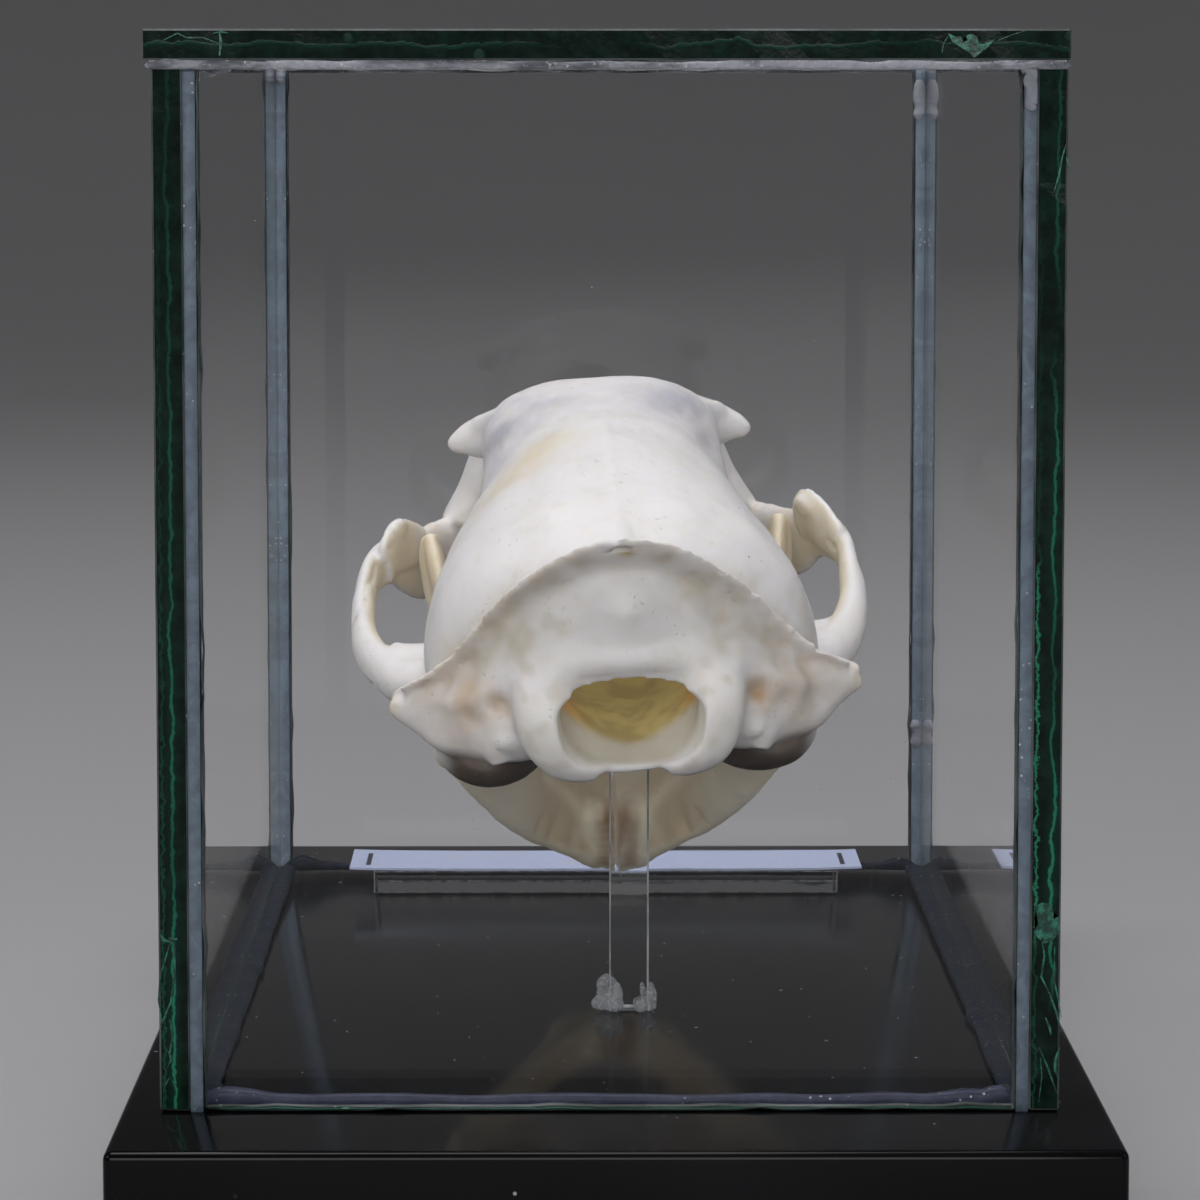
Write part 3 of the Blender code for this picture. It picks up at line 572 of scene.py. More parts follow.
def keep_largest(item):
    """Drop every closed surface but the largest one."""
    bm = bmesh.new()
    bm.from_mesh(item.data)
    left = set(bm.verts)
    best = []
    while left:
        todo = [left.pop()]
        island = []
        while todo:
            vert = todo.pop()
            island.append(vert)
            for edge in vert.link_edges:
                other = edge.other_vert(vert)
                if other in left:
                    left.remove(other)
                    todo.append(other)
        if len(island) > len(best):
            best, island = island, best
        bmesh.ops.delete(bm, geom=island, context="VERTS")
    bm.to_mesh(item.data)
    bm.free()


def cast(item, voxel, smooth_steps, triangles=None):
    """Blend the joined pieces into one smooth surface."""
    remesh = item.modifiers.new("remesh", "REMESH")
    remesh.mode = "VOXEL"
    remesh.voxel_size = voxel
    smooth = item.modifiers.new("smooth", "SMOOTH")
    smooth.factor = 0.5
    smooth.iterations = smooth_steps
    apply(item)
    if triangles:
        faces = sum(len(p.vertices) - 2 for p in item.data.polygons)
        if faces > triangles:
            thin = item.modifiers.new("thin", "DECIMATE")
            thin.ratio = triangles / faces
            apply(item)


# carving of a cast surface, on arrays of its points

def points_of(mesh):
    points = np.empty(len(mesh.vertices) * 3)
    mesh.vertices.foreach_get("co", points)
    return points.reshape(-1, 3)


def normals_of(mesh):
    normals = np.empty(len(mesh.vertices) * 3)
    mesh.vertex_normals.foreach_get("vector", normals)
    return normals.reshape(-1, 3)


def move_points(mesh, points):
    mesh.vertices.foreach_set("co", points.ravel())
    mesh.update()


def near(points, centre, reach):
    """1 at the centre, falling softly to nothing over about twice reach."""
    return np.exp(-((points - np.asarray(centre)) ** 2).sum(axis=1) / reach**2)


def press(item, rows, sides=(-1, 1)):
    """Push the surface in, or out where depth is negative: rows of x, y, z, reach, depth, on each side."""
    points, normals = points_of(item.data), normals_of(item.data)
    moved = points.copy()
    for x, y, z, reach, depth in rows:
        for side in sides:
            centre = np.array((side * x, y, z))
            nearest = np.argmin(((points - centre) ** 2).sum(axis=1))
            facing = np.clip(normals @ normals[nearest], 0, 1)
            moved -= normals[nearest] * (near(points, points[nearest], reach) * facing * depth)[:, None]
    move_points(item.data, moved)


def grain(points, size, shift=(0, 0, 0)):
    """Noise at each point, with features of about size millimetres."""
    shift = Vector(shift)
    return np.array([noise.noise(Vector(p) / size + shift) for p in points])


def roughen(item, size, amount, seed):
    """Slight unevenness, size in millimetres across and amount high."""
    points, normals = points_of(item.data), normals_of(item.data)
    heights = grain(points, size, (seed, seed * 2.3, seed * 0.7))
    move_points(item.data, points + normals * (heights * amount)[:, None])


def relaxed(mesh, points, rounds, share=1.0):
    """The points after rounds of averaging with their neighbours, each by its share."""
    edges = np.empty(len(mesh.edges) * 2, dtype=np.int64)
    mesh.edges.foreach_get("vertices", edges)
    a, b = edges.reshape(-1, 2).T
    count = np.bincount(np.concatenate((a, b)), minlength=len(points))[:, None]
    share = np.broadcast_to(share, len(points))[:, None] / 2
    for _ in range(rounds):
        total = np.stack([np.bincount(a, points[b, k], len(points))
                          + np.bincount(b, points[a, k], len(points)) for k in range(3)], axis=1)
        points = points + (total / count - points) * share
    return points


def soften(item, rounds, rows, sides=(-1, 1)):
    """Blend the surface round some places: rows of x, y, z, reach."""
    points = points_of(item.data)
    share = np.zeros(len(points))
    for x, y, z, reach in rows:
        for side in sides:
            share = np.maximum(share, near(points, (side * x, y, z), reach))
    move_points(item.data, relaxed(item.data, points, rounds, share))


def bends(item, rounds):
    """How far each point lies below its smoothed surroundings: above 0 in hollows, below 0 on ridges."""
    points, normals = points_of(item.data), normals_of(item.data)
    return ((relaxed(item.data, points, rounds) - points) * normals).sum(axis=1)


def mark(item, name, values):
    """Store one number, or one colour, for each point of the piece."""
    kind, key = ("FLOAT", "value") if values.ndim == 1 else ("FLOAT_COLOR", "color")
    layer = item.data.attributes.new(name, kind, "POINT")
    if values.ndim == 2:
        values = np.column_stack((values, np.ones(len(values))))
    layer.data.foreach_set(key, np.ascontiguousarray(values, dtype=np.float32).ravel())


# turns colours towards a colour by a share; used for real stains and for painted shade and highlights
def blend_towards(colours, share, colour):
    return colours + (np.asarray(colour) - colours) * np.clip(share, 0, 1)[:, None]


def ramp(values, low, high):
    t = np.clip((values - low) / (high - low), 0, 1)
    return t * t * (3 - 2 * t)


def mark_tint_and_painted_light(item, colours, inside):
    """Hollows and ridges of a bone for painted shade and painted highlight, its tint, and the share of its
    painted glow, which stands for light soaking through to its inside.
    """
    mark(item, "inside", inside)
    bend = bends(item, 26)
    mark(item, "hollow", ramp(bend, 0.03, 0.34))
    mark(item, "ridge", ramp(-bend, 0.06, 0.5))
    mark(item, "tint", colours)


# cranium

def head_body():
    """Braincase, frontal roof and muzzle in one run from the occiput to the nose."""
    return shell("head", [
        (2.4, 7.4, 3.0, 10.6, -2.8, 2.2, 2.2),
        (3.7, 9.4, 2.9, 12.2, -3.1, 2.1, 2.2),
        (5.3, 11.2, 2.8, 13.4, -3.3, 2.1, 2.2),
        (7.2, 12.8, 2.7, 14.3, -3.4, 2.1, 2.2),
        (9.5, 14.0, 2.6, 15.1, -3.5, 2.2, 2.2),
        (12.0, BRAINCASE_HALF, 2.5, 15.7, -3.6, 2.1, 2.2),
        (15.0, BRAINCASE_HALF, 2.6, 16.3, -3.8, 2.0, 2.2),
        (19.0, 13.9, 3.0, 16.9, -3.8, 1.9, 2.1),
        (23.0, 12.6, 4.2, 17.3, -3.6, 1.9, 1.9),
        (27.0, 10.4, 6.8, 17.5, -3.3, 2.0, 1.6),
        (30.5, WAIST_HALF + 0.1, 10.4, 17.6, -2.9, 2.3, 1.3),
        (34.0, WAIST_HALF - 0.2, 12.4, FRONTAL_TOP, -2.8, 2.6, 1.2),
        (37.5, 9.0, 12.2, FRONTAL_TOP - 0.6, -2.8, 2.6, 1.2),
        (41.0, 8.8, 10.6, 16.0, -2.9, 2.5, 1.35),
        (43.6, 9.8, 8.6, 15.2, -3.1, 2.4, 2.0),
        (46.0, 10.0, 6.4, 14.4, -3.4, 2.3, 2.6),
        (48.6, 9.4, 5.0, 13.4, -3.5, 2.3, 3.0),
        (52.0, 8.3, 4.2, 12.2, -3.6, 2.3, 3.0),
        (55.5, MUZZLE_HALF, 3.6, 11.0, -3.6, 2.3, 3.0),
        (58.2, MUZZLE_HALF - 0.1, 3.0, 9.8, -3.5, 2.2, 2.8),
        (60.4, 6.9, 2.0, 7.2, -3.3, 2.0, 2.6),
        (62.3, 5.2, 0.6, 4.2, -3.0, 2.0, 2.4),
        (NOSE_END - 0.3, 3.2, -0.8, 1.6, -2.6, 2.0, 2.2),
    ], around=88, along=110)


def crest_line():
    """Points of the nuchal crest from one mastoid corner over the inion to the other."""
    half = (MASTOID, (14.6, 6.8, 3.3), (12.0, 5.4, 6.1), (9.5, 4.0, 9.3), (6.5, 2.5, 11.9), (3.4, 1.4, 13.8))
    return [(-x, y, z) for x, y, z in half] + [INION, *reversed(half)]


def occiput():
    """Thin nuchal crest, swollen occipital plate, smooth condyles, and the mastoid corners."""
    middle = (0.0, 12.0, 3.0)
    depth = 2.1
    crest = []
    for place in crest_line():
        point = Vector(place)
        root = point - (point - Vector(middle)).normalized() * depth
        crest.append((*root, 0.4, depth))
    vermis = [(0, 4.6, 3.6, 4.2, 2.3), (0, 4.3, 7.0, 4.4, 2.3), (0, 5.2, 10.4, 4.0, 1.9)]
    brow = [(-6.0, 3.4, 4.6, 1.3, 1.2), (-3.2, 2.9, 5.0, 1.3, 1.2), (0, 2.8, 5.1, 1.2, 1.2),
            (3.2, 2.9, 5.0, 1.3, 1.2), (6.0, 3.4, 4.6, 1.3, 1.2)]
    condyle = [(6.6, 6.0, 5.3, 1.0, 0.8), (6.4, 3.6, 3.9, 2.0, 1.7), (5.9, 2.0, 1.2, 2.4, 2.0),
               (4.9, 2.1, -1.3, 2.25, 1.9), (2.8, 3.2, -3.1, 1.3, 1.5)]
    exoccipital = [(4.0, 4.6, 2.0, 3.0, 3.6), (8.5, 5.8, 1.2, 2.8, 4.4), (12.0, 7.6, 0.3, 2.5, 3.7),
                   (14.8, 8.3, 0.7, 1.8, 2.3), (17.3, 8.6, 0.9, 0.7, 0.8)]
    paroccipital = [(10.4, 6.4, 0.4, 1.9, 2.0), (9.8, 5.2, -1.4, 1.3, 1.5), (9.4, 4.9, -3.0, 0.8, 0.9)]
    mastoid = [(13.2, 8.6, 1.2, 2.1, 2.2), (14.2, 9.4, -0.6, 1.5, 1.6), (14.4, 9.8, -2.3, 0.8, 0.9)]
    return [limb("nuchal_crest", crest, away=middle, around=20, along=110),
            limb("vermis", vermis, AWAY, around=32, along=24),
            limb("foramen_brow", brow, NEARER, around=28, along=40),
            *pair("condyle", condyle, up=NEARER, around=32, along=32),
            *pair("exoccipital", exoccipital, around=28, along=28),
            *pair("paroccipital", paroccipital, up=AWAY, around=20),
            *pair("mastoid_process", mastoid, up=AWAY, around=20)]


def crests():
    """Low sagittal crest and the two lines that part from it to the postorbital processes."""
    sagittal = [(0, 3.0, 12.2, 0.9, 0.8), (0, 6, 13.2, 1.3, 0.8), (0, 12, 15.0, 0.9, 0.8),
                (0, 19, 16.5, 0.8, 0.55), (0, 26, 17.2, 0.6, 0.4)]
    temporal = [(0.4, 25.0, 16.6, 0.7, 0.5), (3.4, 29.5, 16.4, 0.7, 0.6), (6.6, 33.5, 15.5, 0.8, 0.9),
                (9.3, 36.8, 13.9, 0.9, 1.2)]
    postorbital = [(6.8, 37.6, 13.4, 3.2, 2.2), (9.0, 37.6, 13.1, 2.5, 1.7), (10.6, 37.4, 12.8, 1.3, 1.2),
                   (11.9, 37.2, 12.5, 0.6, 0.55)]
    return [limb("sagittal_crest", sagittal, around=14, along=40),
            *pair("temporal_line", temporal, around=14, along=30),
            *pair("postorbital", postorbital, around=24)]


def bow(side):
    """Bow of a zygomatic arch from braincase to muzzle. The left one hangs lower and wider on this skull."""
    keys = [(12.6, 16.0, -0.3, 2.6, 2.2), (15.3, 17.2, -0.2, 2.0, 1.9), (17.3, 19.6, 0.7, 1.5, 1.6),
            (18.5, 22.7, 2.2, 1.1, 1.5), (ZYGOMA_HALF - 0.8, 26.4, 3.8, 0.85, 1.5),
            (18.1, 30.4, 4.8, 0.8, 1.7), (16.6, 34.4, 4.6, 0.9, 2.0), (14.7, 38.0, 3.0, 1.0, 2.8),
            (12.6, 41.6, 2.4, 1.5, 3.1), (9.4, 44.8, 2.4, 2.4, 3.2)]
    sag, flare = (1.1, 0.5) if side < 0 else (0.0, -0.4)
    share = (0.0, 0.2, 0.5, 0.8, 0.8, 0.4, 0.1, 0.0, 0.0, 0.0)
    return [(x + flare * w, y, z - sag * w, a, b) for (x, y, z, a, b), w in zip(keys, share)]


def arches():
    """Zygomatic arches: root on the braincase, bow, jugal with its peak, and root on the muzzle."""
    pieces = [limb(f"arch_{side}", bow(side), side=side, around=28, along=80) for side in (-1, 1)]
    for side, lean in ((-1, 0.0), (1, 0.6)):
        peak = [(16.8, 33.0, 4.6, 0.7, 3.4), (16.2 - lean / 2, 33.5, 6.4, 0.6, 2.1),
                (15.6 - lean, 34.1, 7.6, 0.45, 0.9)]
        pieces.append(limb(f"jugal_peak_{side}", peak, (-0.35, 0.93, 0), side=side, around=20, along=14))
    plates = {-1: [(17.2, 31.0, 5.0, 0.6, 1.8), (16.3, 33.2, 5.8, 0.6, 2.2), (15.4, 35.0, 5.4, 0.6, 2.0),
                   (14.4, 37.2, 4.7, 0.8, 1.6)],
              1: [(17.8, 29.0, 5.1, 0.6, 1.6), (16.8, 31.6, 6.0, 0.6, 2.0), (15.8, 33.8, 6.3, 0.6, 2.1),
                  (15.2, 35.4, 5.4, 0.5, 1.4)]}
    pieces += [limb(f"jugal_plate_{side}", rows, side=side, around=20, along=20)
               for side, rows in plates.items()]
    rim = [(5.4, 44.6, 13.6, 1.2, 2.4), (7.6, 44.4, 11.8, 1.4, 3.2), (8.8, 44.4, 9.4, 1.4, 3.9),
           (9.5, 44.2, 6.8, 1.7, 3.9), (10.8, 43.4, 4.2, 2.0, 3.2)]
    behind = [(11.2, 17.4, -0.6, 1.2, 1.5), (14.0, 17.5, -1.4, 1.0, 1.9), (16.6, 18.2, -0.6, 0.7, 1.3)]
    before = [(11.2, 22.2, -0.4, 1.0, 1.1), (14.0, 22.4, -0.4, 0.9, 1.1), (17.2, 22.0, 0.6, 0.7, 1.1)]
    roof = [(10.0, 19.6, 0.8, 3.0, 1.3), (14.0, 19.6, 0.5, 2.8, 1.2), (16.8, 20.0, 0.9, 1.8, 1.0)]
    return pieces + [*pair("orbit_rim", rim, up=AWAY, around=32, along=28),
                     *pair("postglenoid", behind, around=18, along=14),
                     *pair("preglenoid", before, around=18, along=14),
                     *pair("glenoid_roof", roof, around=20, along=14)]


def underside():
    """Bullae, the floor between them, the pterygoid plates, palate and tooth ridges."""
    bulla = [(11.0, 6.2, -2.3, 1.6, 1.4), (10.3, 8.6, -3.0, 3.8, 2.9), (9.6, 12.5, -3.1, 4.4, 3.5),
             (8.9, 16.8, -3.2, 3.9, 3.5), (7.6, 20.6, -2.9, 2.6, 2.5), (6.6, 23.4, -2.2, 1.0, 1.0)]
    floor = [(0, 2.4, -2.1, 4.6, 1.4), (0, 8, -2.4, 3.6, 1.5), (0, 16, -2.6, 4.2, 1.5),
             (0, 24, -2.0, 4.0, 1.7), (0, 32, -0.6, 3.6, 2.0), (0, 38, -0.6, 4.4, 2.6)]
    pterygoid = [(3.4, 37.0, -2.0, 0.8, 1.8), (3.1, 32.0, -2.4, 0.5, 1.9), (3.0, 28.0, -2.6, 0.45, 2.0),
                 (3.3, 25.4, -3.6, 0.4, 1.2), (3.6, 23.8, -4.6, 0.4, 0.6)]
    palate = [(0, 34.6, -2.7, 4.0, 0.7), (0, 40.0, -3.0, 6.0, 0.8), (0, 47.0, -3.2, 7.4, 0.9),
              (0, 55.0, -3.2, 6.2, 0.9), (0, 61.5, -2.8, 4.8, 0.9)]
    ridge = [(8.2, 40.2, -1.6, 2.0, 1.9), (9.6, 43.0, -1.6, 2.1, 2.5), (9.0, 47.0, -2.0, 1.7, 2.4),
             (7.7, 52.0, -2.0, 1.5, 2.3), (6.4, 57.0, -1.6, 1.7, 2.7), (5.2, 60.4, -1.7, 1.6, 2.2),
             (2.6, 62.6, -1.8, 1.3, 1.6)]
    return [*pair("bulla", bulla, around=36, along=32), limb("floor", floor, power=3.0, around=28, along=30),
            *pair("pterygoid", pterygoid, around=18, along=26), limb("palate", palate, power=3.0, around=28),
            *pair("tooth_ridge", ridge, around=22, along=44)]


# braincase's hollow: y, half width, height of the widest level, top, bottom, power above, power below
BRAIN = [
    (-3.0, 5.5, 1.6, 4.2, -3.6, 1.9, 2.7),
    (0.8, 5.2, 1.6, 3.7, -3.1, 1.9, 2.7),
    (2.6, 5.0, 1.6, 3.7, -2.8, 1.9, 2.4),
    (4.6, 5.5, 2.0, 7.2, -2.0, 2.1, 1.4),
    (8.0, 6.4, 4.0, 11.2, -1.2, 2.2, 1.5),
    (14.0, 6.5, 5.0, 12.6, -1.0, 2.2, 2.2),
    (20.0, 6.2, 6.0, 12.4, 0.0, 2.2, 2.2),
    (24.5, 3.4, 7.0, 10.0, 3.4, 2.2, 2.2),
]


# small openings of the underside: start, end, radius
OPENINGS = [
    ((6.3, 8.6, -7.4), (6.6, 8.8, -2.6), 0.75),
    ((5.2, 5.4, -5.0), (5.6, 6.4, -2.4), 0.45),
    ((5.4, 15.2, -7.6), (6.4, 15.6, -4.4), 0.5),
    ((14.8, 11.2, -4.6), (12.6, 11.0, -2.2), 0.5),
    ((8.0, 30.4, -0.6), (3.4, 29.4, -0.4), 0.75),
    ((8.0, 32.4, 0.8), (3.2, 31.6, 0.6), 0.6),
    ((8.0, 36.6, 0.4), (3.6, 37.6, 0.2), 0.65),
    ((3.0, 50.6, -6.0), (3.0, 50.8, -3.2), 0.35),
    ((17.0, 17.0, -3.4), (13.0, 15.6, -1.0), 0.5),
]


def head_hollows():
    """Braincase behind the foramen magnum, nose, jaw grooves, ears, infraorbital canals, small openings."""
    nose = [(66.0, 3.6, 4.0, 10.0, 0.8, 2.0, 2.0), (61.0, 3.5, 5.0, 9.6, 1.4, 2.0, 2.0),
            (57.0, 3.1, 5.6, 9.2, 2.2, 2.0, 2.0), (50.0, 2.2, 6.0, 8.6, 3.4, 2.0, 2.0)]
    reach = CONDYLE_RADIUS + GAP + 0.1
    _, y, z = HINGE
    glenoid = [(9.6, y, z, reach, reach), (18.6, y, z, reach, reach)]
    ear = [(16.5, 12.6, -2.4, 1.2, 1.3), (11.5, 12.6, -2.4, 1.0, 1.1)]
    infraorbital = [(10.4, 50.5, 3.6, 1.0, 1.3), (10.1, 46.0, 4.3, 1.0, 1.3), (9.4, 40.2, 4.6, 0.8, 1.1)]
    choana = [(0, 27.0, -3.6, 1.9, 1.6), (0, 33.0, -2.0, 1.8, 1.0), (0, 42.0, -1.2, 1.4, 0.8)]
    slit = [(1.5, 57.2, -4.6, 0.5, 1.2), (1.4, 58.8, -4.6, 0.7, 1.2), (1.3, 60.2, -4.4, 0.4, 1.0)]
    cuts = [shell("brain", BRAIN, around=48, along=44), shell("nose", nose, around=36, along=20),
            *pair("glenoid", glenoid, around=28, along=6), *pair("ear", ear, around=20, along=6),
            *pair("infraorbital", infraorbital, around=20, along=12),
            limb("choana", choana, around=24, along=16)]
    for k, (start, end, radius) in enumerate(OPENINGS):
        level = abs(start[2] - end[2]) < 1.5
        cuts += pair(f"opening_{k}", [(*start, radius, radius), (*end, radius * 0.8, radius * 0.8)],
                     up=(0.1, 0.3, 0.95) if level else (0, 1, 0.2), around=14, along=4)
    return cuts + pair("palatine_slit", slit, around=14, along=8)


def braincase_folds():
    """Two slanting bony ridges and a low keel on the floor inside, just seen through the foramen magnum."""
    petrous = [(6.2, 7.6, 2.2, 0.9, 0.9), (4.6, 8.4, 0.6, 1.1, 0.7), (3.0, 9.4, -0.6, 0.8, 0.5),
               (1.6, 10.8, -1.1, 0.4, 0.3)]
    keel = [(-0.4, 5.6, -2.0, 0.5, 0.4), (-0.7, 8.0, -1.5, 0.8, 0.5), (-0.3, 12.0, -1.1, 0.5, 0.4)]
    lip = [(5.6, 5.4, 1.6, 0.5, 0.9), (4.2, 5.6, 0.1, 0.5, 0.6), (2.4, 5.8, -1.3, 0.4, 0.4)]
    return [*pair("petrous_ridge", petrous, around=20, along=16),
            limb("floor_keel", keel, around=16, along=12), *pair("canal_lip", lip, around=16, along=12)]


def nose_scrolls():
    """Thin septum and curled plates that fill the nose opening, seen from the front."""
    septum = [(0, 49.0, 4.6, 0.3, 4.2), (0, 55.0, 4.4, 0.3, 4.4), (0, 59.6, 3.6, 0.25, 3.4)]
    pieces = [limb("septum", septum, around=12, along=14)]
    plates = ((0.9, 6.6, 1.7, 0.1), (1.6, 5.0, 1.3, 0.7), (2.4, 6.0, 1.1, -0.4), (1.2, 3.4, 1.1, 0.9),
              (1.7, 8.0, 1.0, -0.7), (2.3, 4.2, 0.8, 1.3), (1.7, 6.6, 0.8, 0.3), (2.9, 5.0, 0.9, 0.2))
    for k, (x, z, tall, turn) in enumerate(plates):
        scroll = [(x, 49.4, z, 0.2, tall), (x, 54.4, z, 0.18, tall),
                  (x + 0.1, 58.4 - 0.3 * k, z - 0.4, 0.16, tall * 0.8)]
        pieces += pair(f"scroll_{k}", scroll, up=(math.sin(turn), 0, math.cos(turn)), around=12, along=12)
    return pieces


# teeth: name, middle of the root, tip, half length along the row, half width, forward bow, bluntness
UPPER_TEETH = [
    ("incisor_1", (0.8, 62.5, -1.8), (0.85, 63.3, -5.3), 0.8, 0.8, 0.0, 0.75),
    ("incisor_2", (2.2, 62.2, -1.8), (2.25, 63.0, -5.5), 0.9, 0.82, 0.0, 0.7),
    ("incisor_3", (3.7, 61.3, -1.6), (3.9, 62.0, -6.4), 1.2, 1.0, 0.2, 0.45),
    ("canine", (6.0, 59.0, -1.6), (6.7, 58.5, -12.8), 1.95, 1.5, 1.1, 0.14),
    ("premolar_2", (6.7, 55.3, -2.2), (6.9, 55.5, -5.9), 1.5, 0.8, 0.0, 0.2),
    ("premolar_3", (7.6, 51.9, -2.2), (7.9, 52.2, -7.2), 2.2, 1.05, 0.0, 0.18),
    ("premolar_3_heel", (7.7, 50.8, -2.2), (7.9, 50.6, -5.4), 1.2, 0.9, 0.0, 0.35),
    ("carnassial_tall", (8.9, 47.7, -2.2), (9.4, 48.0, -9.0), 2.4, 1.25, 0.0, 0.18),
    ("carnassial_blade", (9.7, 44.6, -2.2), (10.2, 44.0, -7.0), 2.2, 1.1, 0.0, 0.4),
    ("carnassial_inner", (7.2, 49.2, -2.2), (6.9, 49.4, -5.6), 1.1, 1.2, 0.0, 0.3),
    ("molar_outer", (9.8, 41.6, -1.6), (10.1, 41.5, -5.1), 1.4, 1.5, 0.0, 0.5),
    ("molar_waist", (8.2, 41.5, -1.6), (8.2, 41.4, -4.2), 1.3, 1.4, 0.0, 0.8),
    ("molar_inner", (6.6, 41.3, -1.6), (6.4, 41.3, -4.9), 1.8, 1.3, 0.0, 0.6),
]
LOWER_TEETH = [
    ("incisor_1", (0.85, 39.5, -0.6), (0.85, 40.9, 2.7), 0.55, 0.42, 0.0, 0.6),
    ("incisor_2", (1.6, 39.2, -0.6), (1.65, 40.5, 2.9), 0.65, 0.5, 0.0, 0.6),
    ("incisor_3", (2.4, 38.9, -0.6), (2.5, 40.0, 3.1), 0.7, 0.6, 0.0, 0.5),
    ("canine", (3.6, 37.0, -1.2), (4.9, 37.6, 9.0), 1.8, 1.4, 1.3, 0.14),
    ("premolar_2", (3.8, 33.7, -1.0), (3.9, 34.0, 2.4), 1.3, 0.8, 0.0, 0.2),
    ("premolar_3", (4.8, 30.7, -1.4), (5.0, 31.1, 3.4), 1.9, 0.95, 0.0, 0.18),
    ("premolar_4", (6.1, 27.1, -1.6), (6.3, 27.5, 4.2), 2.3, 1.05, 0.0, 0.18),
    ("premolar_4_heel", (6.4, 26.0, -1.6), (6.6, 25.7, 2.4), 1.2, 0.95, 0.0, 0.35),
    ("carnassial_front", (7.4, 23.4, -1.8), (7.6, 23.5, 4.6), 2.2, 1.15, 0.0, 0.3),
    ("carnassial_tall", (8.1, 20.6, -1.6), (8.3, 20.3, 5.6), 2.2, 1.2, 0.0, 0.26),
    ("carnassial_heel", (9.0, 18.0, -1.4), (9.2, 17.7, 1.8), 1.7, 1.1, 0.0, 0.5),
    ("molar_2", (9.9, 15.7, -1.2), (10.1, 15.6, 1.5), 1.1, 0.95, 0.0, 0.6),
]


def cusp(name, root, tip, long_half, wide_half, bow_forward, blunt, side):
    """Pointed crown of a tooth from its root to its tip, swollen just above the root."""
    root, tip = Vector(root), Vector(tip)
    keys = []
    for step in range(9):
        t = step / 8
        size = blunt * 0.8 + (1 - blunt * 0.8) * (1 - t**1.6)
        size *= 1 + 0.10 * math.exp(-((t - 0.28) / 0.12) ** 2)
        x, y, z = root.lerp(tip, t)
        keys.append((x, y + bow_forward * 4 * t * (1 - t), z, wide_half * size, long_half * size))
    return limb(name, keys, up=(0, 1, 0), side=side, around=20, along=16)


def teeth(name, table, sides, gum, crown):
    """All teeth of one bone as one piece. Gum is the height of their roots, crown that of the enamel."""
    cusps = [cusp(*row, side) for side in sides for row in table]
    row = cusps.pop(0)
    join(row, cusps)
    cast(row, TOOTH_VOXEL, 2)
    row.name = name
    points = points_of(row.data)
    mark(row, "root", 1 - ramp(np.abs(points[:, 2] - gum), 0.2 * crown, crown))
    return row


def brain_depth(points):
    """1 inside the braincase and on its wall, 0 outside."""
    rows = np.array(BRAIN)
    half, level, top, bottom = [np.interp(points[:, 1], rows[:, 0], rows[:, k]) for k in (1, 2, 3, 4)]
    tall = np.where(points[:, 2] > level, top - level, level - bottom)
    radius = np.hypot(points[:, 0] / half, (points[:, 2] - level) / tall)
    return ramp(-radius, -1.3, -1.14) * ramp(points[:, 1], 4.0, 5.2) * ramp(-points[:, 1], -26, -24.6)


